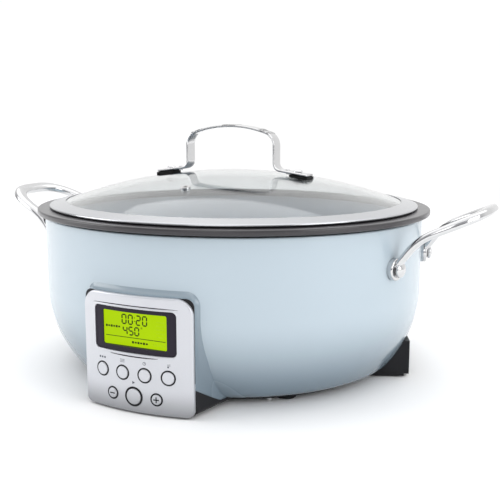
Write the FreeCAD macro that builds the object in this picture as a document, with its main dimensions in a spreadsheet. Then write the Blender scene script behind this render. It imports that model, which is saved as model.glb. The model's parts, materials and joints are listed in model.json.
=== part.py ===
import FreeCAD, Part
import Sketcher
import math
import os

# Slow cooker: an oval housing on a bottom pan, two rear legs and a front control pod, a lift-out cast pot
# and a domed glass lid. Millimetres. +Z is up, +X is the long axis through the side handles, and the control
# panel faces -Y. The origin is on the ground, under the centre of the whole object's box.

Vec = FreeCAD.Vector
UP = Vec(0, 0, 1)
os.makedirs("parts", exist_ok=True)
doc = FreeCAD.newDocument("slow_cooker")

# ---------------------------------------------------------------- driving dimensions
DIMENSIONS = {
    "oval_ratio": 0.94,  # short half-width of every oval over its long half-width
    "body_shift": 1.4,  # body centre behind the origin, which is under the middle of the whole box
    "wall_half": 183.0,  # housing, long half-width
    "wall_top": 147.0,
    "curve_start": 81.3,  # height where the wall starts to curve in
    "curve_radius": 110.0,
    "heel_radius": 20.0,  # tighter curve where the wall turns under
    "heel_turn": 38.2,  # degrees turned when the heel starts
    "shell": 2.0,
    "lip_inner": 167.5,
    "gasket_thick": 1.9,
    "well_half": 166.0,
    "well_sheet": 1.2,
    "well_floor": 42.0,
    "well_hole": 127.0,
    "plate_radius": 118.0,
    "plate_bottom": 40.0,
    "plate_top": 49.8,
    "element_ring": 85.0,
    "element_tube": 3.4,
    "pot_bottom": 50.0,
    "pot_wall": 3.0,
    "mouth_half": 160.0,
    "flange_half": 190.0,
    "flange_bottom": 149.0,
    "flange_top": 154.0,
    "band_half": 178.5,
    "glass_half": 172.0,
    "glass_thick": 4.0,
    "dome_edge": 163.0,
    "dome_edge_top": 159.2,
    "dome_top": 187.0,
    "vent_offset": 92.0,
    "strap_thick": 2.8,
    "strap_width": 15.6,
    "strap_foot": 80.0,
    "strap_post": 46.5,
    "strap_top": 231.0,
    "lid_pad": 2.6,
    "lid_screw_offset": 68.6,
    "lid_pin_offset": 58.0,
    "eyelet_offset": 48.0,
    "eyelet_height": 112.0,
    "eyelet_radius": 10.0,
    "eyelet_thick": 6.0,
    "handle_screw": 3.0,
    "loop_reach": 251.0,
    "loop_half": 55.0,
    "opening_reach": 239.0,
    "opening_half": 42.0,
    "panel_radius": 190.0,
    "panel_front": 180.5,
    "panel_thick": 3.5,
    "pod_half": 51.6,
    "pod_top": 99.0,
    "pod_bottom": 1.5,
    "pod_wall": 2.5,
    "window_half": 38.5,
    "window_bottom": 51.4,
    "window_top": 87.9,
    "screen_half": 30.2,
    "screen_bottom": 55.7,
    "screen_top": 84.6,
    "button_pitch": 21.0,
    "upper_row": 34.0,
    "lower_row": 15.0,
    "board_front": 166.0,  # distance of the control board's front face from the body centre
    "board_thick": 1.6,
    "pan_half": 143.0,
    "pan_bottom": 3.2,
    "pan_top": 5.5,
    "foot_radius": 9.5,
    "leg_turn": 22.5,  # degrees from the long axis
    "leg_half": 61.0,
    "leg_reach": 163.0,
    "leg_top": 36.0,
    "leg_cover": 5.0,
    "gland_bore": 3.75,
    "gland_height": 16.0,
}

sheet = doc.addObject("Spreadsheet::Sheet", "dims")
for row, (alias, value) in enumerate(DIMENSIONS.items(), start=1):
    sheet.set(f"A{row}", alias)
    sheet.set(f"B{row}", str(value))
    sheet.setAlias(f"B{row}", alias)
doc.recompute()

nodes = []


def size(alias):
    """The number that a driving dimension holds now."""
    return float(getattr(sheet, alias))


def number(value):
    """A plain number, or the driving dimension of that name."""
    return size(value) if isinstance(value, str) else float(value)


def bind(obj, **properties):
    """Sets numeric properties; one given as a name follows that driving dimension."""
    for name, value in properties.items():
        if isinstance(value, str):
            obj.setExpression(name, "dims." + value)
        else:
            setattr(obj, name, value)


def keep(obj, label):
    """Marks an object as a sub-part that gets a file of its own."""
    obj.Label = label
    nodes.append(obj)
    return obj


def feature(label, shape):
    """A sub-part whose shape is made by Part functions from the sheet's sizes."""
    obj = doc.addObject("Part::Feature", label)
    obj.Shape = shape
    return keep(obj, label)


# ---------------------------------------------------------------- shapes made by Part functions
def polar(centre, radius, degrees):
    angle = math.radians(degrees)
    return centre[0] + radius * math.cos(angle), centre[1] + radius * math.sin(angle)


def section(start, *steps):
    """A face in the XZ plane. A step is an (x, z) corner, or a pair of points: on the arc, then its end."""
    edges = []
    here = Vec(start[0], 0, start[1])
    first = here
    for step in steps + (start,):
        if isinstance(step[0], tuple):
            middle, end = (Vec(x, 0, z) for x, z in step)
            edges.append(Part.Arc(here, middle, end).toShape())
        else:
            end = Vec(step[0], 0, step[1])
            if end.distanceToPoint(here) > 1e-6:
                edges.append(Part.LineSegment(here, end).toShape())
        here = end
    assert here.distanceToPoint(first) < 1e-6
    return Part.Face(Part.Wire(edges))


def oval(face):
    """Revolves a section about the vertical axis and squeezes it to the body's oval."""
    squeeze = FreeCAD.Matrix()
    squeeze.scale(1, size("oval_ratio"), 1)
    return face.revolve(Vec(0, 0, 0), UP, 360).transformGeometry(squeeze)


def rod(radius, start, end):
    """A cylinder between two points."""
    axis = end - start
    return Part.makeCylinder(radius, axis.Length, start, axis)


def block(low, high):
    return Part.makeBox(high[0] - low[0], high[1] - low[1], high[2] - low[2], Vec(*low))


def union(shapes):
    result = shapes[0]
    for shape in shapes[1:]:
        result = result.fuse(shape)
    return result.removeSplitter()


def rounded_prism(half, bottom, top, bottom_radius, top_radius, front, back):
    """A prism along Y whose outline is a rectangle with rounded corners."""
    low, high = bottom + bottom_radius, top - top_radius
    inner_low, inner_high = half - bottom_radius, half - top_radius
    face = section(
        (-inner_low, bottom),
        (inner_low, bottom),
        (polar((inner_low, low), bottom_radius, -45), (half, low)),
        (half, high),
        (polar((inner_high, high), top_radius, 45), (inner_high, top)),
        (-inner_high, top),
        (polar((-inner_high, high), top_radius, 135), (-half, high)),
        (-half, low),
        (polar((-inner_low, low), bottom_radius, 225), (-inner_low, bottom)),
    )
    face.translate(Vec(0, front, 0))
    return face.extrude(Vec(0, back - front, 0))


def rounded_path(points, largest=()):
    """Straight runs joined by tangent arcs, each as large as its two runs allow, or up to a stated radius."""
    points = [Vec(*p) for p in points]
    edges, radii = [], []
    here = points[0]
    for index, (before, corner, after) in enumerate(zip(points, points[1:], points[2:])):
        towards, away = (corner - before).normalize(), (after - corner).normalize()
        half_turn = towards.getAngle(away) / 2
        shorter = min((corner - before).Length, (after - corner).Length)
        radius = 0.45 * shorter / math.tan(half_turn)
        if index in dict(largest):
            radius = min(radius, dict(largest)[index])
        setback = radius * math.tan(half_turn)
        start, end = corner - towards * setback, corner + away * setback
        inward = (away - towards).normalize()
        middle = corner + inward * (radius / math.cos(half_turn) - radius)
        edges.append(Part.LineSegment(here, start).toShape())
        edges.append(Part.Arc(start, middle, end).toShape())
        radii.append(radius)
        here = end
    edges.append(Part.LineSegment(here, points[-1]).toShape())
    return Part.Wire(edges), radii


def lead(name, points, diameter):
    """A round wire along a rounded path."""
    path, radii = rounded_path(points)
    first = path.Edges[0]
    start = first.valueAt(first.FirstParameter)
    circle = Part.Wire(Part.makeCircle(diameter / 2, start, first.tangentAt(first.FirstParameter)))
    wire = path.makePipeShell([circle], True, False)
    expected = math.pi * diameter**2 / 4 * path.Length
    print(name, "radii", [round(r, 1) for r in radii], "volume over expected", round(wire.Volume / expected, 3))
    return wire


# ---------------------------------------------------------------- shapes made by sketches
def new_sketch(body, name, role, offset=0.0):
    """A sketch on one of the body's own origin planes, moved along that plane's normal."""
    sketch = body.newObject("Sketcher::SketchObject", name)
    plane = next(p for p in body.Origin.OriginFeatures if p.Role == role)
    sketch.AttachmentSupport = [(plane, "")]
    sketch.MapMode = "FlatFace"
    sketch.AttachmentOffset = FreeCAD.Placement(Vec(0, 0, offset), FreeCAD.Rotation())
    return sketch


def add_circle(sketch, centre, radius):
    """A circle; a radius given as a name follows that driving dimension."""
    index = sketch.addGeometry(Part.Circle(Vec(*centre, 0), UP, number(radius)))
    constraint = sketch.addConstraint(Sketcher.Constraint("Radius", index, number(radius)))
    if isinstance(radius, str):
        sketch.setExpression(f"Constraints[{constraint}]", "dims." + radius)
    return index


def add_polygon(sketch, corners):
    """A closed run of straight lines; a coordinate given as a name follows that driving dimension."""
    points = [Vec(number(x), number(y), 0) for x, y in corners]
    count = len(points)
    first = sketch.GeometryCount
    for index in range(count):
        sketch.addGeometry(Part.LineSegment(points[index], points[(index + 1) % count]))
    for index in range(count):
        following = first + (index + 1) % count
        sketch.addConstraint(Sketcher.Constraint("Coincident", first + index, 2, following, 1))
    for index, corner in enumerate(corners):
        for kind, value in zip(("DistanceX", "DistanceY"), corner):
            if number(value) == 0:
                continue
            added = sketch.addConstraint(Sketcher.Constraint(kind, -1, 1, first + index, 1, number(value)))
            if isinstance(value, str):
                sketch.setExpression(f"Constraints[{added}]", "dims." + value)
    return first


def pad(body, sketch, name, length, reverse=False, both=False):
    result = body.newObject("PartDesign::Pad", name)
    result.Profile = sketch
    result.Reversed = reverse
    result.Midplane = both
    bind(result, Length=length)
    doc.recompute()
    return result


def turned(label, corners):
    """A body turned about its vertical axis from half its outline, given as (radius, height)."""
    body = doc.addObject("PartDesign::Body", label)
    sketch = new_sketch(body, label + "_outline", "XZ_Plane")
    add_polygon(sketch, corners)
    doc.recompute()
    revolution = body.newObject("PartDesign::Revolution", label + "_turn")
    revolution.Profile = sketch
    revolution.ReferenceAxis = (sketch, ["V_Axis"])
    revolution.Angle = 360
    doc.recompute()
    return body


def group(label, shape, places):
    """One sub-part of several equal pieces, each at its own place."""
    copies = []
    for place in places:
        copy = shape.copy()
        copy.Placement = place.multiply(copy.Placement)
        copies.append(copy)
    return feature(label, Part.makeCompound(copies))


def at(x, y, z, axis=UP):
    return FreeCAD.Placement(Vec(x, y, z), FreeCAD.Rotation(UP, axis))


# ---------------------------------------------------------------- housing and its supports
def wall_points(inset):
    """Corners and arcs of the housing wall, from its top to its bottom, inset from the outside."""
    centre = (size("wall_half") - size("curve_radius"), size("curve_start"))
    turn = size("heel_turn")
    heel_centre = polar(centre, size("curve_radius") - size("heel_radius"), -turn)
    curve, heel = size("curve_radius") - inset, size("heel_radius") - inset
    return {
        "top": (size("wall_half") - inset, size("wall_top")),
        "start": (centre[0] + curve, centre[1]),
        "curve": (polar(centre, curve, -turn / 2), polar(centre, curve, -turn)),
        "heel": (polar(heel_centre, heel, -turn / 2 - 45), polar(heel_centre, heel, -90)),
    }


def housing_body(inset=0.0):
    """The solid that the housing's outside would enclose, inset or (negative) grown."""
    wall = wall_points(inset)
    bottom = wall["heel"][1][1]
    return oval(section((0, bottom), (0, size("wall_top")), wall["top"], wall["start"], wall["curve"],
                        wall["heel"]))


def leg_direction(side):
    angle = math.radians(size("leg_turn"))
    return Vec(side * math.cos(angle), math.sin(angle), 0)


def leg_block(side, start, end, half, low, high):
    """A block that lies along a rear leg's direction, between two distances from the body's centre."""
    shape = block((start, -half, low), (end, half, high))
    turn = size("leg_turn") if side > 0 else 180 - size("leg_turn")
    shape.rotate(Vec(0, 0, 0), UP, turn)
    return shape


def side_normal(side, front):
    """The housing's outward normal where a handle screw goes through."""
    y = -front * size("eyelet_offset")
    x = side * eyelet_x()
    return Vec(x, y / size("oval_ratio") ** 2, 0).normalize()


def eyelet_x():
    return math.sqrt(size("wall_half") ** 2 - (size("eyelet_offset") / size("oval_ratio")) ** 2)


def eyelet_point(side, front, out):
    """A point on a handle screw's axis, a distance outside the housing's wall."""
    root = Vec(side * eyelet_x(), -front * size("eyelet_offset"), size("eyelet_height"))
    return root + side_normal(side, front) * out


CORNERS = [(side, front) for side in (1, -1) for front in (1, -1)]


def make_outer_housing():
    outer, inner = wall_points(0), wall_points(size("shell"))
    lip_under = size("wall_top") - size("shell")
    bottom_outer, bottom_inner = outer["heel"][1], inner["heel"][1]
    rim = bottom_outer[0] - 6
    shell = oval(section(
        (size("lip_inner"), size("wall_top")), outer["top"], outer["start"], outer["curve"], outer["heel"],
        (rim, bottom_outer[1]), (rim, bottom_inner[1]), bottom_inner,
        (polar(heel_centre_of(), size("heel_radius") - size("shell"), -size("heel_turn") / 2 - 45),
         inner["curve"][1]),
        (inner["curve"][0], inner["start"]),
        (inner["top"][0], lip_under), (size("lip_inner"), lip_under),
    ))
    half = size("pod_half") - size("pod_wall") - 2
    pod_opening = block((-half, -size("wall_half"), bottom_inner[1] + 0.5), (half, -138, size("pod_top") - 6))
    cuts = [pod_opening]
    for side, front in CORNERS:
        cuts.append(rod(size("handle_screw") + 0.1, eyelet_point(side, front, -8), eyelet_point(side, front, 3)))
    cuts += [rod(PAN_SCREW + 0.1, Vec(x, y, 0), Vec(x, y, 12)) for x, y in pan_screw_places()]
    feature("outer_housing", shell.cut(cuts + [cord_passage()]))


def cord_passage():
    """The round way in behind the cord's gland, through the left leg and the housing's wall."""
    along = leg_direction(-1)
    lift = UP * size("gland_height")
    return rod(9.2, along * 148 + lift, along * (size("leg_reach") + size("leg_cover") + 4) + lift)


def heel_centre_of():
    centre = (size("wall_half") - size("curve_radius"), size("curve_start"))
    return polar(centre, size("curve_radius") - size("heel_radius"), -size("heel_turn"))


PAN_SCREW = 1.5
LEG_SCREW = 1.5


def pan_screw_places():
    """Six screws near the pan's edge, clear of the legs and of the pod."""
    radius = size("pan_half") - 2.3
    angles = [-52, -128, 62, 90, 118]
    return [
        (radius * math.cos(math.radians(a)), radius * size("oval_ratio") * math.sin(math.radians(a)))
        for a in angles
    ]


def leg_screw_places():
    """Two screws under each rear leg and two under the pod."""
    places = []
    for side in (1, -1):
        along = leg_direction(side)
        across = Vec(-along.y, along.x, 0)
        places += [along * 124 + across * s for s in (30, -30)]
    places += [Vec(s, -121, 0) for s in (34, -34)]
    return [(p.x, p.y) for p in places]


def make_bottom_pan():
    """The flat black floor of the housing, an ellipse with holes for its screws."""
    body = doc.addObject("PartDesign::Body", "bottom_pan")
    sketch = new_sketch(body, "pan_outline", "XY_Plane", size("pan_bottom"))
    half = size("pan_half")
    sketch.addGeometry(Part.Ellipse(Vec(half, 0, 0), Vec(0, half * size("oval_ratio"), 0), Vec(0, 0, 0)))
    pad(body, sketch, "pan_plate", size("pan_top") - size("pan_bottom"))
    holes = new_sketch(body, "pan_holes", "XY_Plane", size("pan_bottom"))
    for place in pan_screw_places() + leg_screw_places():
        add_circle(holes, place, PAN_SCREW + 0.1)
    doc.recompute()
    pocket = body.newObject("PartDesign::Pocket", "pan_screw_holes")
    pocket.Profile = holes
    pocket.Type = 1
    pocket.Reversed = True
    doc.recompute()
    keep(body, "bottom_pan")


def screw(shaft, head, head_height, length):
    """A pan-head screw that points up: its head is below the origin, its shaft above."""
    return union([
        Part.makeCylinder(shaft, length),
        Part.makeCylinder(head, head_height, Vec(0, 0, -head_height)),
    ])


def domed_head(radius, edge, rise):
    """A screw head with a short upright edge and a dome above it."""
    sphere = (radius**2 + rise**2) / (2 * rise)
    ball = Part.makeSphere(sphere, Vec(0, 0, edge + rise - sphere))
    return Part.makeCylinder(radius, edge + rise).common(ball)


def make_pan_screws():
    shape = screw(PAN_SCREW, 2.8, 1.6, 6.4)
    group("pan_screws", shape, [at(x, y, size("pan_bottom")) for x, y in pan_screw_places()])


def make_rubber_feet():
    radius, height = size("foot_radius"), size("pan_bottom")
    edge = 2.2
    foot = section((0, 0), (radius - edge, 0), (polar((radius - edge, edge), edge, -45), (radius, edge)),
                   (radius, height), (0, height)).revolve(Vec(0, 0, 0), UP, 360)
    front_places = [at(side * 95, -88, 0) for side in (1, -1)]
    rear_places = [at(side * 45, 100, 0) for side in (1, -1)]
    group("rubber_feet", foot, front_places + rear_places)


def make_rear_leg(side, label):
    """A hollow wedge that fills the space between the ground and the housing's curved underside."""
    reach = size("leg_reach")
    solid = leg_block(side, 105, reach, size("leg_half"), size("pod_bottom"), size("leg_top"))
    hollow = leg_block(side, 151, reach + 1, size("leg_half") - 3, size("pod_bottom") + 3, size("leg_top"))
    hollow = hollow.cut(housing_body(-2.5))
    pan = oval(section((0, size("pan_bottom")), (size("pan_half") + 0.2, size("pan_bottom")),
                       (size("pan_half") + 0.2, size("pan_top") + 0.5), (0, size("pan_top") + 0.5)))
    solid = solid.cut([housing_body(), pan, hollow])
    holes = [rod(LEG_SCREW + 0.1, Vec(x, y, 0), Vec(x, y, 12)) for x, y in leg_screw_places()]
    holes += [rod(3.2, Vec(x, y, 0), Vec(x, y, size("pod_bottom") + 1.8)) for x, y in leg_screw_places()]
    if side < 0:
        holes.append(cord_passage())
    feature(label, largest_solid(solid.cut(holes)))


def largest_solid(shape):
    return max(shape.Solids, key=lambda solid: solid.Volume)


def make_leg_cover(side, label):
    """The flat plate that closes the end of a rear leg; the left one holds the cord's gland."""
    reach = size("leg_reach")
    plate = leg_block(side, reach, reach + size("leg_cover"), size("leg_half") - 3, size("pod_bottom") + 1,
                      size("leg_top") - 2)
    plate = plate.cut(housing_body(-0.4))
    if side < 0:
        along = leg_direction(side)
        lift = UP * size("gland_height")
        plate = plate.cut(rod(6.1, along * (reach - 5) + lift, along * (reach + 10) + lift))
    feature(label, largest_solid(plate))


def make_leg_screws():
    shape = screw(LEG_SCREW, 3.0, 1.5, 6.0)
    height = size("pan_bottom") - 0.05
    group("leg_screws", shape, [at(x, y, height) for x, y in leg_screw_places()])


def make_cord_gland():
    """The bushing in the left leg's cover that the mains cord would pass through."""
    along = leg_direction(-1)
    lift = UP * size("gland_height")
    reach = size("leg_reach")
    barrel = rod(6.0, along * (reach - 3) + lift, along * (reach + size("leg_cover")) + lift)
    collar = rod(9.0, along * (reach + size("leg_cover")) + lift, along * (reach + size("leg_cover") + 3) + lift)
    bore = rod(size("gland_bore"), along * (reach - 10) + lift, along * (reach + 20) + lift)
    feature("cord_gland", union([barrel, collar]).cut(bore))


# ---------------------------------------------------------------- heating parts
def make_rim_gasket():
    low = size("wall_top")
    high = low + size("gasket_thick")
    feature("rim_gasket", oval(section((169, low), (181.5, low), (181.5, high), (169, high))))


def make_heat_well():
    half, sheet_thick = size("well_half"), size("well_sheet")
    top = size("wall_top") - size("shell")
    floor = size("well_floor")
    corner = 12.0
    inner_corner = corner - sheet_thick
    centre = (half - corner, floor + corner)
    feature("heat_well", oval(section(
        (size("well_hole"), floor), (centre[0], floor),
        (polar(centre, corner, -45), (half, centre[1])),
        (half, top - sheet_thick), (half + 10, top - sheet_thick), (half + 10, top), (half - sheet_thick, top),
        (half - sheet_thick, centre[1]),
        (polar(centre, inner_corner, -45), (centre[0], floor + sheet_thick)),
        (size("well_hole"), floor + sheet_thick),
    )))


def make_insulation_band():
    inner = size("well_half") + 0.5
    feature("insulation_band", oval(section((inner, 60), (inner + 5, 60), (inner + 5, 138), (inner, 138))))


def make_heating_plate():
    """A thick disc with a groove for the tubular element and a hole for the probe."""
    body = turned("heating_plate", [
        (12.5, "plate_bottom"), ("plate_radius", "plate_bottom"), ("plate_radius", "plate_top"),
        (12.5, "plate_top"),
    ])
    sketch = new_sketch(body, "element_groove_outline", "XZ_Plane")
    add_circle(sketch, (size("element_ring"), size("plate_bottom")), size("element_tube") + 0.1)
    doc.recompute()
    groove = body.newObject("PartDesign::Groove", "element_groove")
    groove.Profile = sketch
    groove.ReferenceAxis = (sketch, ["V_Axis"])
    groove.Angle = 360
    doc.recompute()
    keep(body, "heating_plate")


def terminal_place(side):
    ring = size("element_ring")
    return Vec(side * 10, math.sqrt(ring**2 - 100), size("plate_bottom"))


def make_heating_element():
    """A closed tubular ring with two terminal pins below it."""
    ring = Part.makeTorus(size("element_ring"), size("element_tube"), Vec(0, 0, size("plate_bottom")))
    pins = [rod(2.2, terminal_place(side) - UP * 10, terminal_place(side)) for side in (1, -1)]
    feature("heating_element", union([ring] + pins))


def make_plate_posts():
    """Three steel posts that carry the heating plate on the bottom pan."""
    parts = []
    for index in range(3):
        angle = math.radians(90 + 60 + 120 * index)
        post = doc.addObject("Part::Cylinder", f"plate_post_{index + 1}")
        bind(post, Radius=4.0)
        post.setExpression("Height", "dims.plate_bottom - dims.pan_top")
        post.Placement.Base = Vec(103 * math.cos(angle), 103 * math.sin(angle), size("pan_top"))
        parts.append(post)
    posts = doc.addObject("Part::Compound", "plate_posts")
    posts.Links = parts
    keep(posts, "plate_posts")


def make_thermal_fuse():
    fuse = doc.addObject("Part::Cylinder", "thermal_fuse")
    bind(fuse, Radius=3.9, Height=24.0)
    fuse.Placement = FreeCAD.Placement(Vec(-12, -50, size("plate_bottom") - 4), FreeCAD.Rotation(UP, Vec(1, 0, 0)))
    keep(fuse, "thermal_fuse")


def make_probe_holder():
    """A cup under the heating plate that guides the probe."""
    keep(turned("probe_holder", [
        (0, 30), (16, 30), (16, "plate_bottom"), (12.5, "plate_bottom"), (12.5, 32), (0, 32),
    ]), "probe_holder")


def make_temperature_probe():
    """A round cap that the pot's floor presses down."""
    keep(turned("temperature_probe", [
        (0, 44.2), (9.4, 44.2), (9.4, 37), (11.6, 37), (11.6, 48.9), (10.6, 49.9), (0, 49.9),
    ]), "temperature_probe")


def make_probe_spring():
    """A compression spring between the holder's floor and the probe's cap."""
    radius, wire = 7.0, 0.6
    helix = Part.makeHelix(3.0, 10.6, radius)
    start = Vec(radius, 0, 0)
    circle = Part.Wire(Part.makeCircle(wire, start, Vec(0, 1, 0)))
    spring = Part.Wire(helix.Edges).makePipeShell([circle], True, True)
    spring.translate(Vec(0, 0, 32.8))
    feature("probe_spring", spring)


# ---------------------------------------------------------------- lift-out pot
def make_inner_pot():
    mouth, wall = size("mouth_half"), size("pot_wall")
    flange, low, high = size("flange_half"), size("flange_bottom"), size("flange_top")
    bottom, taper, corner = size("pot_bottom"), 8.0, 24.0
    floor = bottom + wall + 1.5
    outer_centre = (mouth + wall - taper - corner, bottom + corner)
    inner_corner = corner - wall
    inner_centre = (mouth - taper - inner_corner, floor + inner_corner)
    edge = 1.6
    feature("inner_pot", oval(section(
        (0, bottom), (outer_centre[0], bottom),
        (polar(outer_centre, corner, -45), (outer_centre[0] + corner, outer_centre[1])),
        (mouth + wall, low), (flange - edge, low),
        (polar((flange - edge, low + edge), edge, -45), (flange, low + edge)),
        (flange, high - edge),
        (polar((flange - edge, high - edge), edge, 45), (flange - edge, high)),
        (mouth + edge, high),
        (polar((mouth + edge, high - edge), edge, 135), (mouth, high - edge)),
        (inner_centre[0] + inner_corner, inner_centre[1]),
        (polar(inner_centre, inner_corner, -45), (inner_centre[0], floor)),
        (0, floor),
    )))


# ---------------------------------------------------------------- lid
def cap_arc(edge, edge_height, top):
    """A point halfway along the arc from the top centre to the edge of a spherical cap."""
    drop = top - edge_height
    radius = (edge**2 + drop**2) / (2 * drop)
    half_angle = math.degrees(math.asin(edge / radius)) / 2
    return polar((0, top - radius), radius, 90 - half_angle)


def dome_height(distance):
    """Height of the lid glass's top at a distance from its centre along the long axis."""
    drop = size("dome_top") - size("dome_edge_top")
    radius = (size("dome_edge") ** 2 + drop**2) / (2 * drop)
    return size("dome_top") - radius + math.sqrt(radius**2 - distance**2)


def lid_drillings(radius):
    """Upright holes or shafts at the two lid handle screws."""
    return [rod(radius, Vec(side * size("lid_screw_offset"), 0, 160), Vec(side * size("lid_screw_offset"), 0, 200))
            for side in (1, -1)]


def vent_axis():
    """The vent's centre on the dome and the dome's normal there."""
    ratio = size("oval_ratio")
    distance = size("vent_offset")
    height = dome_height(distance / ratio)
    slope = (dome_height(distance / ratio - 0.5) - dome_height(distance / ratio + 0.5)) / ratio
    return Vec(0, -distance, height), Vec(0, -slope, 1).normalize()


def make_lid_glass():
    top, edge, edge_top = size("dome_top"), size("dome_edge"), size("dome_edge_top")
    rim = size("flange_top") + 1.05
    under = top - size("glass_thick")
    shape = oval(section(
        (0, under), (0, top),
        (cap_arc(edge, edge_top, top), (edge, edge_top)),
        (size("glass_half"), edge_top - 1.6), (size("glass_half"), rim), (edge + 2, rim),
        (cap_arc(edge + 2, rim, under), (0, under)),
    ))
    point, normal = vent_axis()
    feature("lid_glass", shape.cut(lid_drillings(2.6) + [rod(2.9, point - normal * 8, point + normal * 4)]))


def make_lid_band():
    """The steel strip rolled round the edge of the glass."""
    half, glass, edge = size("band_half"), size("glass_half"), size("dome_edge")
    top, seat = size("dome_edge_top"), size("flange_top")
    feature("lid_band", oval(section(
        (edge + 2.5, seat + 0.1), (half - 2, seat + 0.1), (half, seat + 0.9), (half, seat + 1.8),
        (polar((half - 1.4, seat + 1.8), 1.4, 50), (half - 1.9, seat + 3.1)),
        (edge, top + 0.9), (edge, top + 0.1), (glass + 0.2, top - 1.5), (glass + 0.2, seat + 1.0),
        (edge + 2.5, seat + 1.0),
    )))


def make_lid_seal():
    """The black ring under the glass that centres the lid in the pot's mouth."""
    seat, mouth = size("flange_top"), size("mouth_half")
    feature("lid_seal", oval(section(
        (mouth - 3.6, seat - 5), (mouth - 1.4, seat - 5), (mouth - 1.4, seat + 0.1), (mouth + 5.2, seat + 0.1),
        (mouth + 5.2, seat + 1.0), (mouth - 3.6, seat + 1.0),
    )))


def make_lid_handle():
    """A flat strap bent into an arch, with a foot at each end."""
    foot, post, top = size("strap_foot"), size("strap_post"), size("strap_top")
    thick, width = size("strap_thick"), size("strap_width")
    rise = size("lid_pad") + thick / 2
    corner_height = dome_height(post) + rise + 0.2
    half_route = [
        (-foot, 0, dome_height(foot) + rise), (-post, 0, corner_height),
        (-post, 0, top - 9.5), (-post * 0.43, 0, top - thick / 2),
    ]
    route = half_route + [(-x, y, z) for x, y, z in reversed(half_route)]
    foot_bend, shoulder_bend = 7.0, 12.0
    path, _ = rounded_path(route, ((0, foot_bend), (1, shoulder_bend), (4, shoulder_bend), (5, foot_bend)))
    start = Vec(*route[0])
    along = (Vec(*route[1]) - start).normalize()
    lifted = Vec(-along.z, 0, along.x) * (thick / 2)
    across = Vec(0, width / 2, 0)
    corners = [start - lifted - across, start + lifted - across, start + lifted + across, start - lifted + across]
    strip = path.makePipeShell([Part.makePolygon(corners + corners[:1])], True, False)
    pins = [rod(2.2, Vec(s * size("lid_pin_offset"), 0, 175), Vec(s * size("lid_pin_offset"), 0, 200))
            for s in (1, -1)]
    offset = size("lid_screw_offset")
    seats = [rod(4.6, Vec(s * offset, 0, strap_underside(offset) + thick), Vec(s * offset, 0, 195)) for s in (1, -1)]
    feature("lid_handle", strip.cut(lid_drillings(2.1) + pins + seats))


def make_lid_handle_pads():
    foot, width = size("strap_foot"), size("strap_width")
    near = size("strap_foot") - 17
    pads = []
    for side in (1, -1):
        face = Part.Face(Part.makePolygon([
            Vec(side * near, 0, dome_height(near) - 1), Vec(side * (foot + 1), 0, dome_height(foot + 1) - 1),
            Vec(side * (foot + 1), 0, strap_underside(foot + 1)), Vec(side * near, 0, strap_underside(near)),
            Vec(side * near, 0, dome_height(near) - 1),
        ]))
        face.translate(Vec(0, -width / 2 - 0.6, 0))
        pads.append(face.extrude(Vec(0, width + 1.2, 0)))
    glass = oval(section((0, 100), (0, size("dome_top")),
                         (cap_arc(size("dome_edge"), size("dome_edge_top"), size("dome_top")),
                          (size("dome_edge"), size("dome_edge_top"))), (size("dome_edge"), 100)))
    pins = [rod(2.2, Vec(s * size("lid_pin_offset"), 0, strap_underside(size("lid_pin_offset")) - 1.2),
                Vec(s * size("lid_pin_offset"), 0, 200)) for s in (1, -1)]
    feature("lid_handle_pads", Part.makeCompound([p.cut([glass] + lid_drillings(2.1) + pins) for p in pads]))


def strap_underside(distance):
    """Height of the underside of the strap's foot, which runs straight from its tip to its bend."""
    foot, post = size("strap_foot"), size("strap_post")
    tip = dome_height(foot) + size("lid_pad")
    bend = dome_height(post) + size("lid_pad") + 0.2
    slope = (bend - tip) / (foot - post)
    return tip + (foot - distance) * slope + size("strap_thick") / 2 * (1 - math.sqrt(1 + slope**2))


def make_lid_fasteners():
    """Domed screws, the nuts under the glass, and the small pins that stop the strap turning."""
    offset = size("lid_screw_offset")
    top = strap_underside(offset) + size("strap_thick")
    under = dome_height(offset) - size("glass_thick") - 0.9
    dome = domed_head(4.4, 0.8, 1.8)
    shaft = Part.makeCylinder(2.0, top - under + 4.2, Vec(0, 0, under - top - 4))
    shape = union([dome, shaft])
    group("lid_handle_screws", shape, [at(side * offset, 0, top) for side in (1, -1)])
    nut = Part.makeCylinder(5.0, 3.2).cut(Part.makeCylinder(2.1, 3.2))
    group("lid_handle_nuts", nut, [at(side * offset, 0, under - 3.2) for side in (1, -1)])
    pin_offset = size("lid_pin_offset")
    pin_low = strap_underside(pin_offset) - 1.1
    pin = Part.makeCylinder(2.1, size("strap_thick") + 1.6)
    group("lid_handle_pins", pin, [at(side * pin_offset, 0, pin_low) for side in (1, -1)])


def make_lid_vent_grommet():
    point, normal = vent_axis()
    thick = size("glass_thick")
    rings = [
        rod(4.6, point + normal * 0.1, point + normal * 1.3),
        rod(2.8, point - normal * (thick + 1.2), point + normal * 0.5),
        rod(4.2, point - normal * (thick + 1.8), point - normal * (thick + 0.6)),
    ]
    bore = rod(1.6, point - normal * 12, point + normal * 6)
    feature("lid_vent_grommet", union(rings).cut(bore))


# ---------------------------------------------------------------- side handles
HANDLE_ROOT = 179.0  # centre line of the handle's upright start
HANDLE_START = 98.0
HANDLE_CURVE = 50.0
HANDLE_CURVE_TURN = 66.0


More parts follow.
